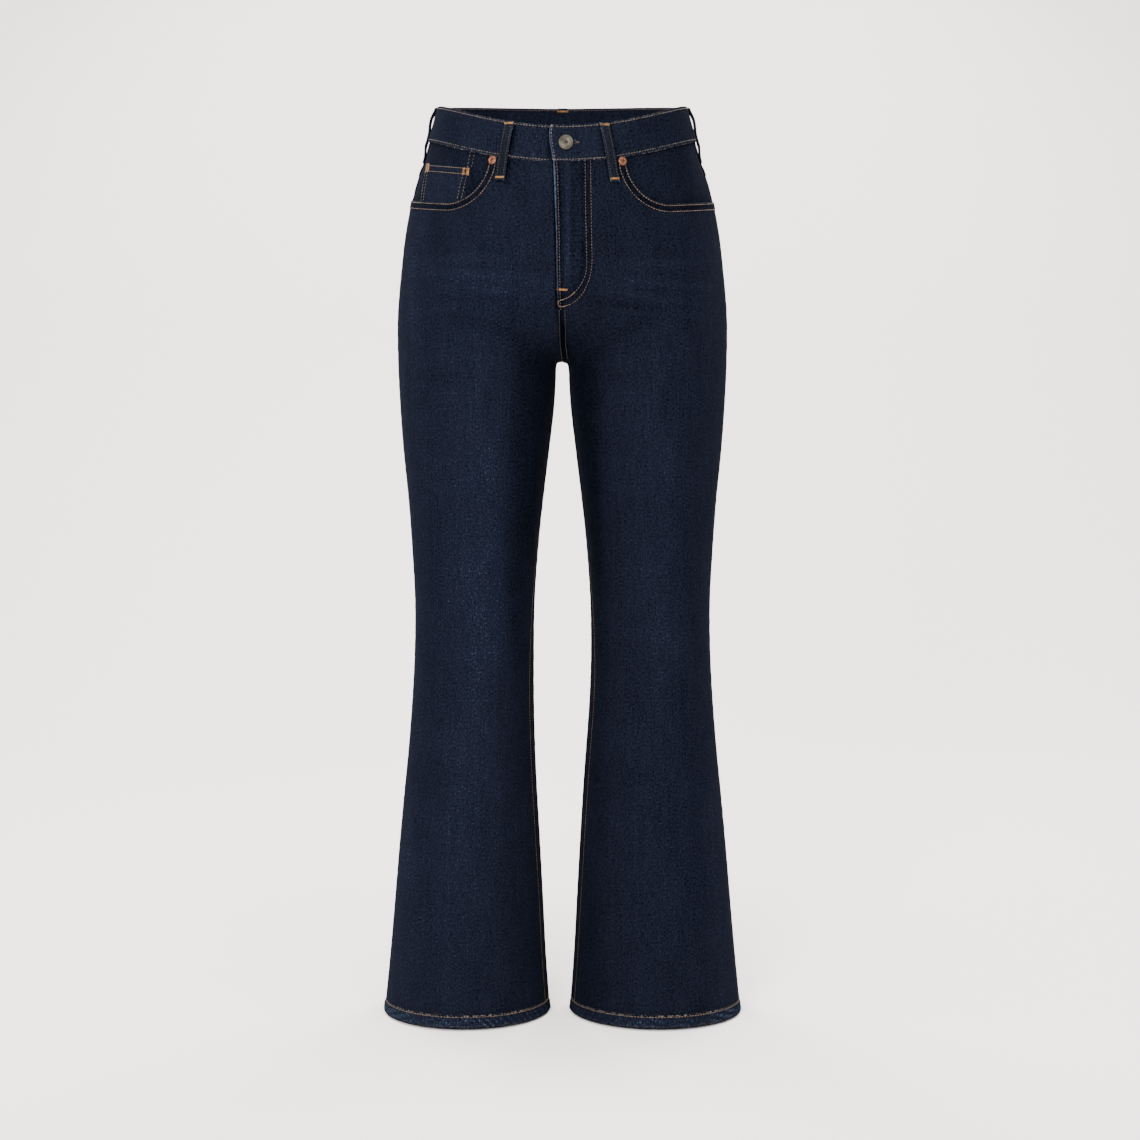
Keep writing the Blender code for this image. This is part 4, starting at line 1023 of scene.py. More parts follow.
def thread(name, dark, light):
    """Glossy spun thread, twisted, its colour uneven from stitch to stitch."""
    material, tree, shader = new_material(name, Specular_IOR_Level=0.15)
    noise = uneven(tree, 260, 3)
    link(tree, (two_tone(tree, noise, 0.3, dark, 0.7, light), "Color"), (shader, "Base Color"))
    link(tree, weighted(tree, 0.4, (noise, 0.25)), (shader, "Roughness"))
    twist = add_node(tree, "ShaderNodeTexWave", Scale=700)
    twist.bands_direction = "DIAGONAL"
    link(tree, (tree.nodes.new("ShaderNodeTexCoord"), "Object"), (twist, "Vector"))
    raise_by(tree, shader, (twist, "Fac"), 0.6, 0.1)
    return material


copper_thread = thread("copper thread", (0.018, 0.0112, 0.0068), (0.135, 0.088, 0.053))
tan_thread = thread("tan thread", (0.008, 0.0066, 0.0054), (0.070, 0.056, 0.045))
worn_thread = thread("worn copper thread", (0.010, 0.0062, 0.0040), (0.062, 0.040, 0.026))
# A dim greyish thread, for the loops' faint rows and, as painted shade, for the crotch's rows
dim_shaded_thread = thread("dim shaded thread", (0.006, 0.0052, 0.0044), (0.030, 0.026, 0.022))
tack_thread = thread("bartack thread", (0.040, 0.017, 0.0045), (0.20, 0.095, 0.028))
stitches = stitching_tree()


def sew(name, rows, dyed=copper_thread, seed=1, **form):
    """Stitch along rows of places on the cloth; each row is (side, seam, across, drop, lift)."""
    points, ups, edges = [], [], []
    for side, seam, across, drop, lift in rows:
        low = cloth(side, seam, across, drop, lift + SEW_HEIGHT)
        high = cloth(side, seam, across, drop, lift + SEW_HEIGHT + 1.0)
        start = len(points)
        edges.extend((start + step, start + step + 1) for step in range(len(low) - 1))
        points.extend(low.tolist())
        ups.extend(high - low)
    mesh = bpy.data.meshes.new(name)
    mesh.from_pydata(points, edges, [])
    ups = np.array(ups, dtype=np.float32)
    mesh.attributes.new("Up", "FLOAT_VECTOR", "POINT").data.foreach_set("vector", ups.ravel())
    guide = bpy.data.objects.new(name + "_lines", mesh)
    bpy.context.scene.collection.objects.link(guide)
    modifier = guide.modifiers.new("Stitches", "NODES")
    modifier.node_group = stitches
    sockets = {item.name: item.identifier for item in stitches.interface.items_tree}
    for key, value in dict(form, Seed=seed, Thread=dyed).items():
        modifier[sockets[key]] = value
    graph = bpy.context.evaluated_depsgraph_get()
    sewn = bpy.data.meshes.new_from_object(guide.evaluated_get(graph))
    guide.modifiers.clear()
    bpy.data.objects.remove(guide)
    sewn.name = name
    piece = add_object(name, sewn)
    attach(piece, "root")
    return piece


def offset_line(across, drop, distance):
    """A line beside another, to its right as it runs towards larger across, so below it."""
    over, down = np.gradient(across), np.gradient(drop)
    size = np.hypot(over, down)
    return across - down / size * distance, drop + over / size * distance


def row_places(start, end):
    """Even places along a row of stitches, to just short of its end."""
    return np.arange(start, end - 0.5, ROW_STEP)


def on_front(side, across, drop):
    """A row of stitches on a front's face."""
    across, drop = alike(across, drop)
    lift = front_relief(side, across, drop, scoop_points(side, 300))
    return side, FRONT, across, hung(FRONT, across, drop), lift


def bar(across, drop, length, angle):
    """Across and drop along a bartack, which has its middle at a place and lies at an angle in degrees."""
    half = np.linspace(-length / 2, length / 2, 5)
    turn = math.radians(angle)
    return across + half * math.cos(turn), drop + half * math.sin(turn)


def sew_fly():
    """The rows along the fly's edge and round its shield, and the two rows down the rise."""
    fly = np.arange(72.0, 236.0, ROW_STEP)
    rise = np.arange(236.0, 290.0, 2.0)
    sew("fly_stitching", [on_front(LEFT, fly_edge(fly) + 3.3, fly), on_front(LEFT, *smooth_line(HOOK_INNER)),
                          on_front(LEFT, *smooth_line(HOOK_OUTER))], dyed=worn_thread, seed=5)
    sew("fly_end_stitching", [on_front(LEFT, *smooth_line(HOOK_END, 1.0))], seed=6, Pitch=2.2 * MM,
        Length=2.4 * MM, Width=1.2 * MM)
    # The crotch's rows have the dim thread as painted shade
    sew("crotch_stitching", [on_front(LEFT, fly_edge(rise) + aside, rise) for aside in (1.9, 8.2)],
        dyed=dim_shaded_thread, seed=8)


for side, word in SIDES:
    mouth = scoop_points(side, 160)
    leg = np.arange(312.0, HEM_DROP - HEM_ROW, ROW_STEP)
    sew("front_%s_inseam_stitching" % word, [on_front(side, inseam_row(FRONT, leg), leg)],
        dyed=worn_thread, seed=9 + side)
    if side == LEFT:
        sew_fly()
    hem = row_places(1.0, half_length(FRONT, HEM_DROP - HEM_ROW))
    rows = [on_front(side, *offset_line(*mouth, below)) for below in (2.2, 8.9)]
    sew("front_%s_stitching" % word, rows + [on_front(side, hem, HEM_DROP - HEM_ROW)], seed=3 + side)
    corner = mouth[1][-1]
    tacks = [on_front(side, *bar(half_length(FRONT, corner) - 5.5, corner + 5.5, 7.5, 84))]
    if side == LEFT:
        tacks.append(on_front(LEFT, *bar(0.0, 213.3, 11.4, 2)))
    sew("front_%s_bartacks" % word, tacks, dyed=tack_thread, seed=7 + side, **BARTACK)


# ---------------------------------------------------------------------------------------------------
# Backs: a panel of the same denim for each leg, under the yoke. The seat seam is felled flat, the
# wearer's left over the right, and sewn with two rows; the hems and seams match those of the fronts.
# ---------------------------------------------------------------------------------------------------
YOKE_SIDE_DROP = 78.0
YOKE_CENTRE_DROP = 99.0
BACK_ROWS = ((150.0, 150.0), (176.0, 172.0), (202.0, 193.0), (226.0, 213.0), (248.0, 232.0),
             (266.0, 250.0), (279.0, 268.0), (287.5, 284.0), (291.3, 297.0),
             (CROTCH_DROP, 308.0), (295.0, 318.0), (301.0, 328.0), (311.0, 340.0), (328.0, 354.0),
             (368.0, 368.0))
BACK_COLUMNS = 52

# The seat's felled seam: how wide its ridge is, and how far in its two rows of stitches lie
SEAT_RIDGE = 9.5
FELLED_ROWS = (1.8, 8.0)


def yoke_line(across, drop):
    """Drop of the seam between the yoke and the back."""
    share = across / half_length(BACK, drop)
    return YOKE_CENTRE_DROP + (YOKE_SIDE_DROP - YOKE_CENTRE_DROP) * share


def seat_ridge(side, across, drop):
    """How far the felled seam of the seat stands up; it lies on the wearer's left."""
    down = 1 - ease(drop, CROTCH_DROP - 8.0, CROTCH_DROP + 4.0)
    return 0.8 * down * (1 - ease(across, SEAT_RIDGE, SEAT_RIDGE + 2.0)) * (side == LEFT)


def back_relief(side, across, drop):
    """How far a back's face stands off the worn surface."""
    beside_seam = half_length(BACK, drop) - across
    pucker = 0.16 * ripple(drop, 13.0, 31 + side) * fade(across, 10.0)
    pucker = pucker + 0.2 * ripple(drop, 15.0, 9 + side) * fade(beside_seam, 10.0)
    lift = seat_ridge(side, across, drop) + rolled(across, 1.2, 0.4) + rolled(beside_seam, 1.6, 0.9)
    return lift + pucker + hem_relief(across, drop, 40 + side)


def back_places(drop):
    """Where a back's columns of points lie across it, at each drop of its inner edge."""
    length = half_length(BACK, drop)
    near = INNER_OFFSETS + 0 * length[..., None]
    middle = spaced(near[..., -1], length - OUTER_OFFSETS[0], BACK_COLUMNS)
    return np.concatenate((near, middle, length[..., None] - OUTER_OFFSETS[1:]), axis=-1)


def on_back(side, across, drop):
    """A row of stitches on a back's face."""
    across, drop = alike(across, drop)
    return side, BACK, across, hung(BACK, across, drop), back_relief(side, across, drop)


for side, word in SIDES:
    across = back_places(np.array(90.0))
    top = yoke_line(across, 88.0) - 1.5
    across = across * half_length(BACK, top) / across[-1]
    across, drop = panel_plan(BACK, back_places, BACK_ROWS, (across, top))
    across, drop, lift = add_foot(BACK, across, drop, back_relief(side, across, drop))
    worn = body_wear_and_painted_light(BACK, side, across, drop) + seam_wear_and_shade(BACK, across, drop)
    worn = worn + 0.10 * fade(across, 4.0) * (drop < CROTCH_DROP)
    add_panel("back_" + word, side, BACK, (across, drop), (lift, -CLOTH), worn, hem_fray(drop))
    rows = [on_back(side, row_places(1.0, half_length(BACK, HEM_DROP - HEM_ROW)), HEM_DROP - HEM_ROW)]
    if side == LEFT:
        seat = np.arange(101.0, 288.0, ROW_STEP)
        rows += [on_back(LEFT, aside, seat) for aside in FELLED_ROWS]
    sew("back_%s_stitching" % word, rows, seed=13 + side)


# ---------------------------------------------------------------------------------------------------
# Yokes: shaped strips of the same denim between the waistband and the backs, which take in the waist.
# Each is felled over its back with two rows of topstitching, and the left one over the right at the
# centre.
# ---------------------------------------------------------------------------------------------------
YOKE_RIDGE = 9.0


def yoke_relief(side, across, drop):
    """How far a yoke's face stands off the worn surface."""
    above = yoke_line(across, drop) - drop
    beside_seam = half_length(BACK, drop) - across
    lift = 0.7 * (1 - ease(above, YOKE_RIDGE, YOKE_RIDGE + 2.0)) + seat_ridge(side, across, drop)
    pucker = 0.16 * ripple(across, 12.0, 51 + side) * np.exp(-above / 6.0)
    return lift + pucker + rolled(above, 1.3, 1.2) + rolled(across, 1.2, 1.1) + rolled(beside_seam, 1.6, 1.1)


def on_yoke(side, across, drop):
    """A row of stitches on a yoke's face."""
    across, drop = alike(across, drop)
    return side, BACK, across, drop, yoke_relief(side, across, drop)


for side, word in SIDES:
    share = back_places(np.array(70.0)) / half_length(BACK, 70.0)
    up = np.concatenate((TOP_OFFSETS, np.linspace(TOP_OFFSETS[-1], 62.0, 14)[1:]))[::-1, None]
    drop = np.full((len(up), len(share)), 80.0)
    for _ in range(5):
        across = share * half_length(BACK, drop)
        top = waist_line(BACK, BAND_HEIGHT, across, drop) - BAND_TUCK
        bottom = yoke_line(across, drop)
        drop = bottom - up * (bottom - top) / up[0]
    near_edge = np.arange(len(share)) < len(INNER_OFFSETS)
    across = np.where(near_edge, back_places(np.array(70.0)), across)
    worn = 0.12 * fade(np.maximum(bottom - drop, 0), 2.0) + body_wear_and_painted_light(BACK, side, across, drop)
    lift = yoke_relief(side, across, drop)
    add_cloth("yoke_" + word, side, BACK, (across, drop), (lift, -CLOTH), worn)
    line = row_places(0.6, half_length(BACK, 80.0))
    rows = [on_yoke(side, line, yoke_line(line, 88.0) - above) for above in FELLED_ROWS]
    if side == LEFT:
        seat = np.arange(32.0, 98.0, ROW_STEP)
        rows += [on_yoke(LEFT, aside, seat) for aside in FELLED_ROWS]
    sew("yoke_%s_stitching" % word, rows, seed=23 + side)


# ---------------------------------------------------------------------------------------------------
# Hems: the foot of each leg turned up inside, a ring of doubled denim with its raw edge folded in. The
# hem's one row of topstitching holds it all round.
# ---------------------------------------------------------------------------------------------------
# The ring's height, where its outer face lies, its thickness, and its rounded top and foot
HEM_HEIGHT = 14.0
HEM_OUTSIDE = -1.7
HEM_THICK = 1.9
HEM_TURNS = np.radians(np.array((0.0, 30.0, 60.0, 90.0)))
HEM_LEVELS = 8
HEM_COLUMNS = 90


def hem_profile():
    """Drops of the ring's rows, and how far in its inner face lies at each."""
    top = HEM_DROP - HEM_HEIGHT
    rounding = HEM_TURNS[::-1]
    level = np.concatenate((top + 0.6 * (1 - np.sin(rounding)),
                            np.linspace(top + 1.5, HEM_DROP - 2.0, HEM_LEVELS),
                            HEM_DROP - 1.2 * (1 - np.sin(HEM_TURNS))))
    share = np.concatenate((0.5 + 0.5 * np.cos(rounding), np.ones(HEM_LEVELS), np.cos(HEM_TURNS)))
    return level[:, None], HEM_OUTSIDE - HEM_THICK * share[:, None]


def hem_half(side, half, start, end):
    """Across and drop of a ring's points along a front or a back, and its inner and outer face there."""
    level, inside = hem_profile()
    over = np.linspace(start, end, HEM_COLUMNS) * half_length(half, level)
    down = level + 0 * over
    ropes = 0.25 * ripple(over + 1.1 * down, ROPE_PITCH, 60 + side)
    inner = inside + ropes * (inside < HEM_OUTSIDE - 1.3)
    low = hung(half, over, down)
    outer = np.maximum(HEM_OUTSIDE, inner + 0.05)
    return over, down, cloth(side, half, over, low, inner), cloth(side, half, over, low, outer)


for side, word in SIDES:
    front = hem_half(side, FRONT, 0, 1)
    back = hem_half(side, BACK, 1, 0)
    length = front[0][:, -1:]
    around = 2 * length - back[0] * length / back[0][:, :1]
    over, down, ring, outside = (np.concatenate(pair, axis=1) for pair in zip(front, (around, *back[1:])))
    piece = add_wall("hem_%s_cloth" % word, ring, outside, flat_map(side, FRONT, over, down), 0.15,
                     (denim_back, denim_back))
    declare(piece, "hem_" + word)


# ---------------------------------------------------------------------------------------------------
# Pocket facings: the denim that shows inside the scooped pocket mouths, a layer behind each front. Each
# is caught under the waistband and in the side seam, and the right one has a seam with two rows.
# ---------------------------------------------------------------------------------------------------
# Where the coin pocket lies on the wearer's right facing: across at its mouth and foot, its mouth's drop
COIN_INNER = (107.0, 114.0)
COIN_OUTER = (181.0, 182.5)
COIN_TOP = (76.5, 67.5)

# The facings' outer face, their thickness, how far they reach in behind the fronts, and the right one's seam
FACING_OUT = -2.06
FACING_THICK = 1.2
FACING_TUCK = 13.0
FACING_SEAM = ((102.5, 59.0), (105.5, 75.0))

for side, word in SIDES:
    start = SCOOP_START + side * CENTRE_SHIFT
    over = np.linspace(start - FACING_TUCK, half_length(FRONT, 90.0), 60)
    foot = scoop_line(side, np.maximum(over, start + 2.0)) + FACING_TUCK - 2.0
    top = waist_line(FRONT, BAND_HEIGHT, over, 70.0) - BAND_TUCK
    down = top + (np.maximum(foot, top + 20.0) - top) * np.linspace(0, 1, 36)[:, None]
    over = over * half_length(FRONT, down) / half_length(FRONT, 90.0)
    lift = FACING_OUT + 0.15 * ripple(over, 22.0, 70 + side)
    # Painted shade under the front's edge along the pocket mouth and over the wearer's left facing; the
    # facings are a little darker all over
    worn = -0.14 * fade(beside_line(scoop_points(side, 300), over, down), 4.0) - 0.05 - 0.04 * (side == LEFT)
    if side == RIGHT:
        # Painted shadow beside the coin pocket's inner edge
        worn = worn - 0.22 * fade(over - COIN_INNER[0] + 3.0, 3.0) * (down > COIN_TOP[0] - 1.0)
    add_cloth("pocket_facing_" + word, side, FRONT, (over, down), (lift, FACING_OUT - FACING_THICK), worn)

across, drop = np.linspace(*FACING_SEAM, 12).T
sew("pocket_facing_right_stitching",
    [(RIGHT, FRONT, across + aside, drop, FACING_OUT + 0.25) for aside in (0.0, 5.6)],
    dyed=tan_thread, seed=34)


# ---------------------------------------------------------------------------------------------------
# Coin pocket: a small patch of the same denim on the wearer's right facing. Its mouth is hemmed with two
# rows and tacked at both corners, its sides are sewn down, and its foot is caught in the pocket mouth.
# ---------------------------------------------------------------------------------------------------
COIN_OUT = -0.2
COIN_THICK = 1.1
COIN_ROWS = (1.8, 8.3)
COIN_SIDE_ROWS = (1.8, 7.2)

# The bars at the mouth's corners: across, drop, length and angle
COIN_BARS = (
    (COIN_INNER[0] + 2.4, COIN_TOP[0] + 5.0, 8.0, 84),
    (COIN_INNER[0] + 7.6, COIN_TOP[0] + 4.4, 7.0, 84),
    (COIN_OUTER[0] - 2.6, COIN_TOP[1] + 5.0, 9.5, 96),
    (COIN_OUTER[0] - 7.4, COIN_TOP[1] + 5.2, 9.0, 96),
)


def between(pair, share):
    """A value that lies a share of the way from a pair's first one to its second."""
    return pair[0] + (pair[1] - pair[0]) * share


def on_coin_pocket(across, drop):
    """A row of stitches on the coin pocket's face."""
    return RIGHT, FRONT, across, drop, COIN_OUT + 0.3


u = np.concatenate(((0.0, 0.006, 0.014, 0.026, 0.05), np.linspace(0.08, 0.92, 30),
                    (0.95, 0.974, 0.986, 0.994, 1.0)))
v = np.concatenate(((0.0, 0.008, 0.02, 0.04, 0.07), np.linspace(0.1, 1.0, 24)))[:, None]
over = between(COIN_INNER, v) * (1 - u) + between(COIN_OUTER, v) * u
top = between(COIN_TOP, u)
foot = scoop_line(RIGHT, over)
down = top + (foot + 3.0 - top) * v
from_top = down - top
from_side = np.minimum(over - over[:, :1], over[:, -1:] - over)
lift = COIN_OUT + rolled(from_side, 1.4, 1.2) + rolled(from_top, 1.4, 1.2)
lift = lift + 0.35 * (1 - ease(from_top, 8.5, 10.0)) + 0.15 * ripple(over, 9.0, 81) * fade(from_top, 5.0)

# Its foot goes in behind the edge of the pocket mouth
lift = np.minimum(lift, FACING_OUT + 1.9 + 10 * np.clip(foot - down, -0.1, 1))
# Its mouth is worn pale; painted shade lies along its sides' rows
worn = 0.10 + 0.10 * fade(from_top, 1.2) - 0.14 * (1 - ease(from_side, 6.0, 10.0))
add_cloth("coin_pocket", RIGHT, FRONT, (over, down), (lift, COIN_OUT - COIN_THICK), worn)
line = np.linspace(COIN_INNER[0] + 1.2, COIN_OUTER[0] - 1.2, 30)
mouth = np.interp(line, (COIN_INNER[0], COIN_OUTER[0]), COIN_TOP)
sew("coin_pocket_stitching", [on_coin_pocket(line, mouth + below) for below in COIN_ROWS], seed=31)
rows = []
for edge, top, way in ((COIN_INNER, COIN_TOP[0], 1), (COIN_OUTER, COIN_TOP[1], -1)):
    drop = np.linspace(top + 1.0, scoop_line(RIGHT, np.array(edge[1])) - 1.0, 14)
    rows += [on_coin_pocket(np.linspace(*edge, 14) + way * inset, drop) for inset in COIN_SIDE_ROWS]
sew("coin_pocket_side_stitching", rows, dyed=tan_thread, seed=33)
sew("coin_pocket_bartacks", [on_coin_pocket(*bar(*row)) for row in COIN_BARS],
    dyed=tack_thread, seed=32, **dict(BARTACK, Length=4.6 * MM))


# ---------------------------------------------------------------------------------------------------
# Back pockets: plain patches of the same denim that come to a point, hemmed at the mouth. Each is sewn
# to its back with two rows round the sides and the foot, and tacked at both corners of the mouth.
# ---------------------------------------------------------------------------------------------------
BACK_POCKET = {"middle": 98.0, "top": 121.0, "tilt": 5.0, "half width": 69.0, "taper": 8.0, "drift": 3.1,
               "side": 118.0, "point": 24.0, "out": 1.6}
POCKET_RIM = np.array((0.0, 0.004, 0.010, 0.020, 0.035, 0.06, 0.09, 0.12, 0.15))
POCKET_ROWS = (2.0, 8.2)
MOUTH_ROWS = (0.015, 0.085)


def pocket_size(u, v):
    """A back pocket's half width at v, from 0 to 1 down it, and its height at u, from -1 to 1 over it."""
    size = BACK_POCKET
    return size["half width"] - size["taper"] * v, size["side"] + size["point"] * (1 - np.abs(u))


def pocket_place(u, v, inset=0.0):
    """Across and drop of places on a back pocket, or so far in from its sides and foot."""
    wide, tall = pocket_size(u, v)
    over = (wide - inset) * u
    down = (tall - inset * 1.05) * v
    turn = math.radians(BACK_POCKET["tilt"])
    return (BACK_POCKET["middle"] + over * math.cos(turn) + BACK_POCKET["drift"] * v,
            BACK_POCKET["top"] + down - over * math.sin(turn))


def pocket_lift(u, v):
    """How far a back pocket's face stands off the back, and how far its edges and its mouth are."""
    wide, tall = pocket_size(u, v)
    from_edge = np.minimum(wide * (1 - np.abs(u)), tall * (1 - v) * 0.95)
    from_top = v * tall
    lift = BACK_POCKET["out"] + rolled(from_edge, 1.5, 1.5) + rolled(from_top, 1.5, 1.2)
    lift = lift + 0.4 * (1 - ease(from_top, 10.0, 12.0)) + 0.6 * ease(from_edge, 9.0, 40.0)
    return lift - 0.2 * ridge(from_edge, 8.2, 1.5), from_edge, from_top


def on_pocket(side, u, v, inset=0.0):
    """A row of stitches on a back pocket's face."""
    u, v = alike(u, v)
    wide, tall = pocket_size(u, v)
    lift = pocket_lift(u * (wide - inset) / wide, v * (tall - inset * 1.05) / tall)[0]
    return side, BACK, *pocket_place(u, v, inset), lift


for side, word in SIDES:
    u = np.concatenate((-1 + POCKET_RIM, np.linspace(-0.8, 0.8, 35), 1 - POCKET_RIM[::-1]))
    v = np.concatenate((POCKET_RIM[:-1], np.linspace(0.15, 0.88, 30), 1 - POCKET_RIM[:-2][::-1]))[:, None]
    u, v = alike(u, v)
    place = pocket_place(u, v)
    lift, from_edge, from_top = pocket_lift(u, v)
    worn = 0.1 + 0.3 * fade(np.minimum(from_edge, from_top), 1.6) + body_wear_and_painted_light(BACK, side, *place)
    add_cloth("back_pocket_" + word, side, BACK, place, (lift, 0.02), worn)
    down = np.linspace(0.01, 1, 30)
    u = np.concatenate((np.full(30, -1.0), np.linspace(-1, 1, 41), np.full(30, 1.0)))
    v = np.concatenate((down, np.ones(41), down[::-1]))
    mouth = np.linspace(-0.97, 0.97, 40)
    rows = [on_pocket(side, u, v, inset) for inset in POCKET_ROWS]
    rows += [on_pocket(side, mouth, below) for below in MOUTH_ROWS]
    sew("back_pocket_%s_stitching" % word, rows, seed=43 + side)
    corner = np.linspace(0.01, 0.075, 5)
    tacks = [(side, BACK, *pocket_place(end * 0.955, corner), BACK_POCKET["out"] + 0.3) for end in (-1, 1)]
    sew("back_pocket_%s_bartacks" % word, tacks, dyed=tack_thread, seed=45 + side, **BARTACK)


# ---------------------------------------------------------------------------------------------------
# Waistband: one shaped strip of doubled denim round the top, topstitched along both edges. Its wearer's
# left end laps over the right one at the front, and has the buttonhole.
# ---------------------------------------------------------------------------------------------------
# Its outer and inner face, how much further out and in its lapped ends lie, and its rows of stitches
BAND_OUT = 1.2
BAND_IN = 2.0
BAND_LAP = 1.6
BAND_UNDER = -1.9
BAND_SEWN = (2.3, BAND_HEIGHT - 1.9)
BAND_BACK = -BAND_IN - 2 * SEW_HEIGHT

# The rows of points down it, and how far in from its end the last columns lie
BAND_ROWS = np.concatenate((
    (0.0, 0.3, 0.7, 1.2, 1.8, 2.6, 3.2, 3.8), np.linspace(5.2, BAND_HEIGHT - 5.0, 20),
    BAND_HEIGHT - np.array((3.4, 2.7, 2.1, 1.5, 0.9, 0.4, 0.0)))) / BAND_HEIGHT
BAND_END = np.array((14.0, 11.5, 9.0, 7.0, 5.4, 4.2, 3.2, 2.3, 1.5, 0.9, 0.4, 0.0))


def band_places(half, across, rows=BAND_ROWS):
    """Across and drop of the waistband's points, in columns that start at these places on its top edge."""
    top = across
    drop = np.full((len(rows), len(across)), ORIGIN_DROP)
    for _ in range(5):
        edge = waist_line(half, 0.0, top, drop)
        foot = waist_line(half, BAND_HEIGHT, top, drop)
        drop = edge + (foot - edge) * np.asarray(rows)[:, None]
    return top + 0 * drop, drop


def band_face(down, along):
    """How far the waistband's face stands out, by the distance from its top edge."""
    up = BAND_HEIGHT - down
    sunk = 0.3 * sum(ridge(down, row, 1.1) for row in BAND_SEWN)
    puff = 0.3 * np.sin(math.pi * np.clip(down / BAND_HEIGHT, 0, 1))
    face = rolled(down, 1.8, 1.6) + rolled(up, 1.5, 1.3) + puff - sunk
    return face + 0.16 * ripple(along + 0.5 * down, 11.0, 91) * (fade(down, 6.0) + fade(up, 6.0))


def band_wear_and_shade(side, half, across, drop, down, along):
    """How much paler or darker the waistband is: worn along its edges, with painted shade below its top row,
    painted shadows beside the front loops and the lapped end, and painted shade over the wearer's left front.
    """
    up = BAND_HEIGHT - down
    # The edges are worn pale; just below the top row the band has painted shade
    worn = 0.05 + 0.05 * fade(down, 1.3) + 0.12 * fade(up, 1.6) - 0.06 * ridge(down, 3.6, 1.4)
    worn = worn + 0.14 * ripple(along, 9.0, 92) * (fade(down, 5.0) + fade(up, 5.0))
    if half == BACK:
        return worn
    # Painted shade over the outer part of the wearer's left front, and on the right end a painted shadow
    # beside the left end's lap
    closing = 0.12 * ease(across, 55.0, 85.0) if side == LEFT else 0.45 * ridge(across, 14.9, 1.8)
    return worn - painted_loop_shadow(side, across, drop) - closing


def band_stretch(side, half, start, end, count):
    """One stretch of the band: its side, half, across, drop and lifts, between shares of the half's width."""
    shares = np.linspace(start, end, count)
    drop = band_places(half, shares * half_length(half, ORIGIN_DROP))[1]
    return side, half, shares * half_length(half, drop), drop, 0 * drop


def band_lap(side, across, lift):
    """The same from places in mm, near the closing at the front."""
    across, drop = band_places(FRONT, across)
    return side, FRONT, across, drop, lift + 0 * drop


front_width = half_length(FRONT, ORIGIN_DROP)
edge_drop = band_places(FRONT, np.array((-9.8,)))[1]
end_edge = fly_edge(edge_drop)
end_across = end_edge + BAND_END
stretches = (
    band_lap(LEFT, np.linspace(30, -8.0, 14), BAND_UNDER),
    band_lap(RIGHT, np.linspace(11.0, 27.0, 6), np.linspace(BAND_UNDER, 0.0, 6)),
    band_stretch(RIGHT, FRONT, 30.0 / front_width, 0.993, 46),
    band_stretch(RIGHT, BACK, 1.0, 0.006, 46),
    band_stretch(LEFT, BACK, 0.0, 0.993, 46),
    band_stretch(LEFT, FRONT, 1.0, 46.0 / front_width, 44),
    band_lap(LEFT, np.linspace(44.0, 30.0, 7), np.linspace(0.0, BAND_LAP, 7)),
    band_lap(LEFT, np.linspace(28.5, 6.0, 14), BAND_LAP),
    (LEFT, FRONT, end_across, edge_drop + 0 * end_across, BAND_LAP + 0 * end_across),
)
stretches_made = []
walked = 0.0
for side, half, across, drop, lift in stretches:
    down = BAND_HEIGHT * BAND_ROWS[:, None] + 0 * across
    up = BAND_HEIGHT - down
    along = walked + np.abs(across - across[:, :1])
    walked = along[0, -1] + 2.5
    lapped = (side, half) == (LEFT, FRONT) and lift[0, -1] > 1
    end = across - end_edge if lapped else 99.0 + 0 * across
    face = lift + BAND_OUT + band_face(down, along) + rolled(end, 1.6, 1.5)
    turned_in = np.clip(-rolled(down, 1.8, 1.6) - rolled(up, 1.5, 1.2) - rolled(end, 1.6, 1.5), 0, 1.6)
    corner = np.minimum(down, up)
    stretches_made.append((
        cloth(side, half, across, drop, face),
        cloth(side, half, across, drop, lift - BAND_IN + turned_in),
        np.stack((along, -down), axis=-1) * MM,
        band_wear_and_shade(side, half, across, drop, down, along) + 0.8 * ridge(end, 0, 1.3),
        1.2 * ridge(corner, 0, 3.0) * ridge(end, 0, 2.2) + 0.25 * fade(corner, 1.6)))
outer, inner, plan, worn, frayed = (np.concatenate(part, axis=1) for part in zip(*stretches_made))
piece = add_wall("waistband_cloth", outer, inner, plan, worn, (denim_face, denim_face), frayed)
declare(piece, "waistband")


def on_band(side, half, across, down, lift=0.0):
    """A row of stitches along the band, so far down from its top edge."""
    drop = between(band_places(half, across, (0.0, 1.0))[1], down / BAND_HEIGHT)
    return side, half, across, drop, lift + BAND_OUT + band_face(down + 0 * across, across)


rows = []
inside_rows = []
for down in BAND_SEWN:
    under = row_places(12.0, half_length(FRONT, down))
    lap = row_places(-5.0, half_length(FRONT, down))
    rows.append(on_band(RIGHT, FRONT, under, down, np.interp(under, (11.0, 27.0), (BAND_UNDER, 0.0))))
    rows += [on_band(side, BACK, row_places(0.5, half_length(BACK, down)), down) for side in (RIGHT, LEFT)]
    rows.append(on_band(LEFT, FRONT, lap, down, np.interp(lap, (30.0, 44.0), (BAND_LAP, 0.0))))
    for side in (RIGHT, LEFT):
        for half, start in ((FRONT, 32.0), (BACK, 0.5)):
            places = row_places(start, half_length(half, ORIGIN_DROP))
            inside_rows.append((*on_band(side, half, places, down)[:4], BAND_BACK))
end_row = np.interp(np.linspace(*BAND_SEWN, 16), BAND_ROWS * BAND_HEIGHT, edge_drop[:, 0])
rows.append((LEFT, FRONT, fly_edge(end_row) + 2.6, end_row, BAND_LAP + BAND_OUT + 0.15))
sew("waistband_stitching", rows, dyed=tan_thread, seed=51, Width=1.25 * MM)
sew("waistband_inside_stitching", inside_rows, dyed=worn_thread, seed=52)

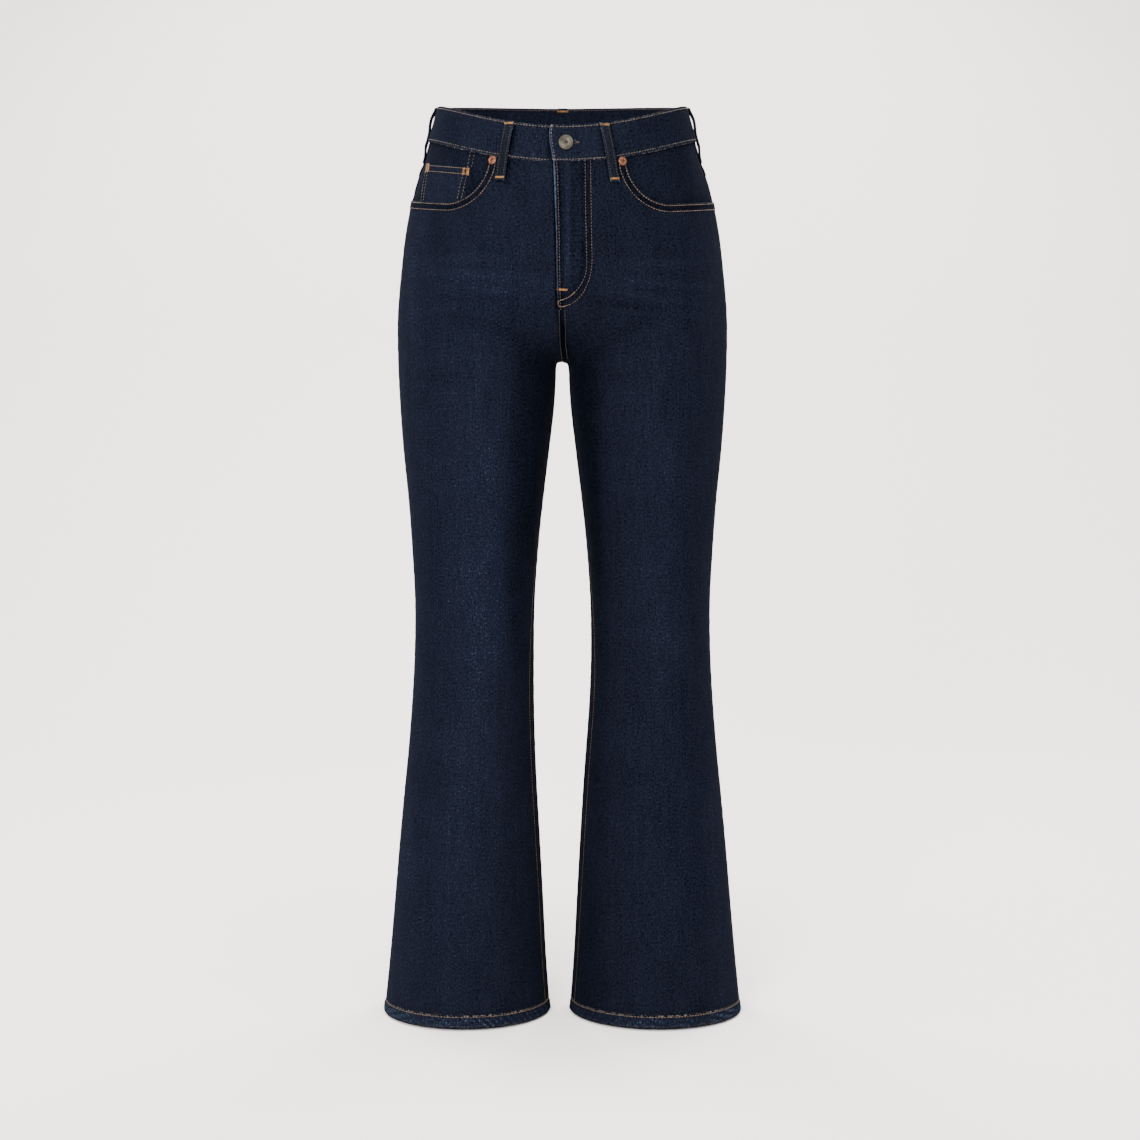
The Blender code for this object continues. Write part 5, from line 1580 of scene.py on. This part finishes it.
# The centre loop's bartack, which comes through to the inside
across = np.linspace(-6.5, 6.5, 7)
drop = band_places(BACK, np.abs(across), np.array((3.4,)) / BAND_HEIGHT)[1][0]
sew("waistband_inside_bartack", [(LEFT, BACK, across, drop, BAND_BACK)], dyed=tack_thread, seed=54, **BARTACK)

# The buttonhole's worked edge, an eyelet with a tail towards the side seam
HOLE = {"across": 4.2, "drop": 51.8, "eye": 5.0, "tail": 14.5, "half": 0.2}
turns = np.radians(np.linspace(30, 330, 22))
across = np.concatenate(((HOLE["tail"],), HOLE["eye"] * np.cos(turns), (HOLE["tail"],))) + HOLE["across"]
drop = np.concatenate(((HOLE["half"],), HOLE["eye"] * np.sin(turns), (-HOLE["half"],))) + HOLE["drop"]
sew("buttonhole_stitching", [(LEFT, FRONT, *even_line(across, drop, 60), BAND_LAP + BAND_OUT + 0.3)],
    dyed=tan_thread, seed=53, Pitch=0.6 * MM, Length=1.1 * MM, Width=0.5 * MM, Turn=math.radians(88))


# ---------------------------------------------------------------------------------------------------
# Belt loops: folded strips of denim with an edge row along each side, tacked to the waistband's top edge
# and below its seam, and standing off between.
# ---------------------------------------------------------------------------------------------------
# Each loop: its seam, where its top and its foot lie across, and how far its top is set down
LOOPS = {
    "belt_loop_front_left": (LEFT, FRONT, 46.5, 59.0, 1.2),
    "belt_loop_front_right": (RIGHT, FRONT, 58.5, 70.0, 1.2),
    "belt_loop_side_left": (LEFT, SIDE_SEAM, 0.0, 0.0, 1.6),
    "belt_loop_side_right": (RIGHT, SIDE_SEAM, 0.0, 0.0, 1.6),
    "belt_loop_back": (LEFT, BACK, 0.0, 0.0, 0.0),
}
# A loop's profile, a row down from the band's top or bottom edge: drop from it, inner face and thickness
LOOP_PROFILE = (
    ("top", -0.5, 1.65, 2.0),
    ("top", 4.0, 1.65, 2.8),
    ("top", 9.0, 3.5, 1.4),
    ("top", 17.0, 4.6, 1.4),
    ("bottom", -9.0, 4.3, 1.4),
    ("bottom", 6.0, 3.1, 1.4),
    ("bottom", 17.0, 0.45, 2.6),
    ("bottom", 25.0, 0.45, 2.2),
)
# The side ones lie closer, and touch the band's lower edge
SIDE_PROFILE = (
    ("top", -0.5, 1.5, 1.5),
    ("top", 5.0, 2.2, 2.3),
    ("top", 12.0, 3.9, 2.4),
    ("top", 20.0, 3.5, 2.4),
    ("bottom", -8.0, 1.4, 2.4),
    ("bottom", 3.0, 1.2, 2.4),
    ("bottom", 7.0, 1.7, 2.4),
    ("bottom", 14.0, 0.4, 1.8),
    ("bottom", 20.0, -0.4, 1.5),
    ("bottom", 26.0, -0.6, 1.0),
)
LOOP_ACROSS = np.array((-5.5, -5.3, -4.9, -4.3, -3.5, -2.6, -1.3, 0.0, 1.3, 2.6, 3.5, 4.3, 4.9, 5.3, 5.5))
LOOP_ROW = 3.5

loop_denim = denim("loop denim", (0.0006, 0.0008, 0.0014), (0.0084, 0.0096, 0.0146))


def softened(values, times):
    """Values with their corners worn down, the two ends kept."""
    for _ in range(times):
        values = np.concatenate((values[:1], (values[:-2] + 2 * values[1:-1] + values[2:]) / 4, values[-1:]))
    return values


def loop_path(seam, across, set_down):
    """A loop's drops from its top to its foot, and how far its inner and outer face stand off the cloth."""
    half, table = seam, LOOP_PROFILE
    if seam == SIDE_SEAM:
        half, table, across = BACK, SIDE_PROFILE, half_length(BACK, ORIGIN_DROP)
    top, bottom = band_places(half, np.array((across,)), (0.0, 1.0))[1][:, 0]
    start = {"top": top + set_down, "bottom": bottom}
    profile = np.array([(start[edge] + down, low, low + thick) for edge, down, low, thick in table])
    places = np.linspace(0, len(profile) - 1, 64)
    return [softened(np.interp(places, np.arange(len(profile)), column), 12) for column in profile.T]


for name, (side, seam, top_across, foot_across, set_down) in LOOPS.items():
    level, low, high = loop_path(seam, top_across, set_down)
    middle = between((top_across, foot_across), (level - level[0]) / (level[-1] - level[0]))
    wide, down = alike(LOOP_ACROSS, level[:, None])
    over = middle[:, None] + LOOP_ACROSS
    from_side = 5.5 - np.abs(LOOP_ACROSS)
    from_end = np.minimum(down - level[0], level[-1] - down)
    face = high[:, None] + rolled(from_side, 0.7, 0.6) + rolled(from_end, 0.9, 0.8)
    face = face + 0.12 * ripple(down, 6.0, 95)
    face = face + 0.2 * ridge(wide, 0, 2.4) - 0.15 * ridge(np.abs(wide), LOOP_ROW, 0.7)
    under = np.minimum(low[:, None] - 0.3 * (from_end < 12), face - 0.5)
    # The side loops are much darker than the front and back ones
    worn = 0.06 + 0.36 * fade(from_side, 0.7) + 0.3 * fade(from_end, 1.0) - 0.5 * (seam == SIDE_SEAM)
    plan = np.stack((wide + 40, -down), axis=-1) * MM
    outer, inner = (cloth(side, seam, over, down, lift) for lift in (face, under))
    piece = add_wall(name + "_cloth", outer, inner, plan, worn, (loop_denim, loop_denim))
    declare(piece, name)
    walk = slice(2, -2)
    rows = [(side, seam, middle[walk] + way * LOOP_ROW, level[walk], high[walk] - 0.1) for way in (-1, 1)]
    sew(name + "_stitching", rows, dyed=dim_shaded_thread, seed=61, Pitch=3.0 * MM, Length=2.2 * MM, Width=0.7 * MM)
    tacks = [(side, seam, np.interp(drop, level, middle) + np.linspace(-4.8, 4.8, 5), drop,
              np.interp(drop, level, high) + 0.1) for drop in (level[0] + 2.6, level[-1] - 3.2)]
    sew(name + "_bartacks", tacks, dyed=tack_thread, seed=62, **BARTACK)


# ---------------------------------------------------------------------------------------------------
# Zip: brass teeth on woven tape behind the fly, closed all the way up. The tape is sewn down under the
# lap of the left front, which hides it.
# ---------------------------------------------------------------------------------------------------
ZIP = {"middle": 1.2, "half": 14.0, "top": 79.0, "bottom": 226.0, "out": -2.0, "thick": 0.8, "pitch": 1.5}
# The near black of tarnish in the metal's hollows and of the painted shade on its outer sides
TARNISH_AND_SHADE = (0.012, 0.008, 0.006)


def metal(name, dark, light, roughness, grain):
    """Cast or plated metal, darker and rougher in patches where it has aged, dark with tarnish in its
    grooves, and with painted shade on its outer side and underside.
    """
    material, tree, shader = new_material(name, Metallic=1)
    noise = uneven(tree, grain, 5, 0.65)
    tint(tree, shader, two_tone(tree, noise, 0.38, dark, 0.62, light), attribute(tree, "Tarnish and shade"), TARNISH_AND_SHADE)
    link(tree, weighted(tree, roughness + 0.2, (noise, -0.4)), (shader, "Roughness"))
    raise_by(tree, shader, noise, 0.25, 0.1)
    return material


brass = metal("aged brass", (0.16, 0.10, 0.04), (0.55, 0.40, 0.18), 0.35, 900)
tape = denim("zip tape", (0.004, 0.006, 0.012), (0.03, 0.035, 0.05))
over = np.linspace(ZIP["middle"] - ZIP["half"], ZIP["middle"] + ZIP["half"], 15)
over, down = alike(over, np.linspace(ZIP["top"], ZIP["bottom"], 50)[:, None])
piece = add_wall("zip_tape", cloth(LEFT, FRONT, over, down, ZIP["out"]),
                 cloth(LEFT, FRONT, over, down, ZIP["out"] - ZIP["thick"]),
                 flat_map(LEFT, FRONT, over, down), 0.0, (tape, tape))
declare(piece, "zip")
chain = np.arange(ZIP["top"] + 6.0, ZIP["bottom"] - 3.0, 1.0)
for word, way, offset in (("right", -1, 0.0), ("left", 1, ZIP["pitch"] / 2)):
    row = (LEFT, FRONT, ZIP["middle"] + way * 1.3, chain + offset, ZIP["out"] + 0.15)
    teeth = sew("zip_teeth_" + word, [row], dyed=brass, seed=71, Pitch=ZIP["pitch"] * MM, Length=3.2 * MM,
                Width=0.9 * MM, Height=1.2 * MM, Turn=math.radians(90))


# ---------------------------------------------------------------------------------------------------
# Waist button: a domed tack button of antique silver, plain, with a raised rim and a small centre, its
# shank through the buttonhole in the lap of the waistband.
# ---------------------------------------------------------------------------------------------------
# Where it stands: across, drop and how far off the cloth
BUTTON = (4.2, 52.1, 3.1)

# Half a button, from its centre out: radius, height and how dark it is, tarnish in its centre and grooves and
# painted shade on its rim's outer side and underside
BUTTON_PROFILE = np.array((
    (0.0, 2.7, 0.9), (0.8, 2.8, 0.8), (1.2, 3.1, 0.1), (1.7, 2.95, 0.2), (2.1, 2.72, 0.5),
    (2.8, 2.74, 0.0), (4.4, 2.84, 0.0), (5.8, 2.74, 0.1), (6.5, 2.46, 0.6), (6.9, 2.62, 0.1),
    (7.5, 2.58, 0.0), (8.2, 2.15, 0.4), (8.6, 1.4, 0.8), (8.5, 0.9, 0.9), (8.0, 0.5, 0.9),
    (6.8, 0.25, 0.9), (2.2, 0.2, 0.9), (2.0, -1.0, 0.9), (2.0, -3.4, 0.9), (0.0, -3.4, 0.9),
))


def turned(name, node, slot, place, profile, steps, metal_kind):
    """A turned piece of metal standing on a front, its axis along the cloth's normal."""
    across, drop, lift, side = place
    spot = cloth(side, FRONT, across, drop, lift)
    normal = cloth(side, FRONT, across, drop, lift + 1.0) - spot
    normal = normal / np.linalg.norm(normal)
    level = np.cross((0.0, 0.0, 1.0), normal)
    level = level / np.linalg.norm(level)
    rise = np.cross(normal, level)
    angles = np.linspace(0, math.tau, steps, endpoint=False)[:, None, None]
    ring = np.cos(angles) * level + np.sin(angles) * rise
    points = [spot + normal * profile[0, 1] * MM, spot + normal * profile[-1, 1] * MM]
    body = spot + ring * profile[1:-1, :1] * MM + normal * profile[1:-1, 1:2] * MM
    points = np.concatenate((points, body.reshape(-1, 3)))
    count = len(profile) - 2
    faces = []
    for step in range(steps):
        here = 2 + step * count
        there = 2 + (step + 1) % steps * count
        faces.append((0, here, there))
        faces.append((1, there + count - 1, here + count - 1))
        faces.extend((here + row, here + row + 1, there + row + 1, there + row) for row in range(count - 1))
    mesh = bpy.data.meshes.new(name)
    mesh.from_pydata(points.tolist(), [], faces)
    piece = add_object(name, mesh, metal_kind)
    mesh.set_sharp_from_angle(angle=math.radians(50))
    tarnish_and_shade = np.concatenate((profile[(0, -1), 2], np.tile(profile[1:-1, 2], steps))).astype(np.float32)
    mesh.attributes.new("Tarnish and shade", "FLOAT", "POINT").data.foreach_set("value", tarnish_and_shade)
    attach(piece, "root")
    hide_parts(node)
    return piece


silver = metal("antique silver", (0.030, 0.0272, 0.0216), (0.054, 0.0490, 0.0393), 0.6, 120)
turned("waist_button_metal", "waist_button", "button", (*BUTTON, LEFT), BUTTON_PROFILE, 72, silver)


# ---------------------------------------------------------------------------------------------------
# Rivets: turned caps of aged copper with a raised rim and a small centre, pressed through the cloth to
# hold the upper corners of the pocket mouths.
# ---------------------------------------------------------------------------------------------------
# Each rivet: across, drop and side
RIVETS = (("rivet_left", 68.0, 71.5, LEFT), ("rivet_right", 79.0, 70.0, RIGHT))
RIVET_OUT = 0.8
# Half a rivet, from its centre out: radius, height and how dark it is, tarnish in its centre and groove and
# painted shade on its outer side
RIVET_PROFILE = np.array((
    (0.0, 1.2, 0.9), (0.6, 1.1, 0.9), (1.0, 1.4, 0.4), (1.5, 1.2, 0.3), (2.0, 1.0, 0.5), (2.6, 1.1, 0.1),
    (3.3, 1.35, 0.0), (4.0, 1.25, 0.0), (4.7, 0.9, 0.4), (5.3, 0.3, 0.95), (5.4, -0.6, 1.0),
    (0.0, -0.6, 1.0),
))

copper = metal("aged copper", (0.066, 0.027, 0.016), (0.150, 0.065, 0.038), 0.45, 300)
for node, across, drop, side in RIVETS:
    turned(node + "_metal", node, "rivets", (across, drop, RIVET_OUT, side), RIVET_PROFILE, 40, copper)


# ---------------------------------------------------------------------------------------------------
# Studio: a pale floor that curves up into the backdrop, soft light from above and both sides, and the
# camera in front, a little above the knees.
# ---------------------------------------------------------------------------------------------------
FLOOR = (ORIGIN_DROP - HEM_DROP - 2.3) * MM
WALL_AT = 1.9
BEND = 0.9


def plain(name, colour):
    """Matt studio paper with a faint grain."""
    material, tree, shader = new_material(name, Roughness=0.9, Specular_IOR_Level=0.1)
    darker = [value * 0.99 for value in colour]
    link(tree, (two_tone(tree, uneven(tree, 3), 0.0, darker, 1.0, colour), "Color"), (shader, "Base Color"))
    return material


turns = np.linspace(0, math.pi / 2, 24)
profile = [(-5.0, 0.0)] + [(WALL_AT + BEND * math.sin(t), BEND * (1 - math.cos(t))) for t in turns]
profile.append((WALL_AT + BEND, 5.0))
points = [(x, y, FLOOR + z) for x in (-6.0, 6.0) for y, z in profile]
count = len(profile)
mesh = bpy.data.meshes.new("backdrop")
mesh.from_pydata(points, [], [(i, i + count, i + count + 1, i + 1) for i in range(count - 1)])
backdrop = add_object("backdrop", mesh, plain("studio paper", (0.875, 0.818, 0.798)))


def add_light(name, place, target, size, power, colour=(1, 1, 1)):
    """A soft rectangular light, facing a target."""
    data = bpy.data.lights.new(name, "AREA")
    data.shape = "RECTANGLE"
    data.size, data.size_y = size
    data.energy = power
    data.color = colour
    light = bpy.data.objects.new(name, data)
    light.location = place
    away = np.array(target) - np.array(place)
    tilt = math.atan2(math.hypot(away[0], away[1]), -away[2])
    light.rotation_euler = (tilt, 0, math.atan2(away[0], -away[1]) + math.pi)
    bpy.context.scene.collection.objects.link(light)
    return light


add_light("overhead", (0.0, -0.8, 2.4), (0.0, 0.6, -0.5), (3.4, 2.4), 150)
add_light("front left", (-0.9, -3.6, 0.9), (0.0, 0.4, -0.4), (1.5, 1.5), 300)
add_light("front right", (1.5, -3.4, 0.6), (0.0, 0.4, -0.4), (1.5, 1.5), 50)
for name, x in (("back left", -1.3), ("back right", 1.3)):
    add_light(name, (x, 1.7, 1.5), (0.0, 0.0, -0.5), (1.3, 1.3), 90)
world = bpy.data.worlds.new("studio")
world.use_nodes = True
world.node_tree.nodes["Background"].inputs["Color"].default_value = (1.0, 0.985, 0.975, 1)
world.node_tree.nodes["Background"].inputs["Strength"].default_value = 1.35
bpy.context.scene.world = world

lens = bpy.data.cameras.new("camera")
lens.lens = 70.175
lens.sensor_width = 36
camera = bpy.data.objects.new("camera", lens)
camera.location = (0.0088, -2.6, -0.307)
camera.rotation_euler = (math.radians(90 - 4.61), 0, 0)
bpy.context.scene.collection.objects.link(camera)
bpy.context.scene.camera = camera
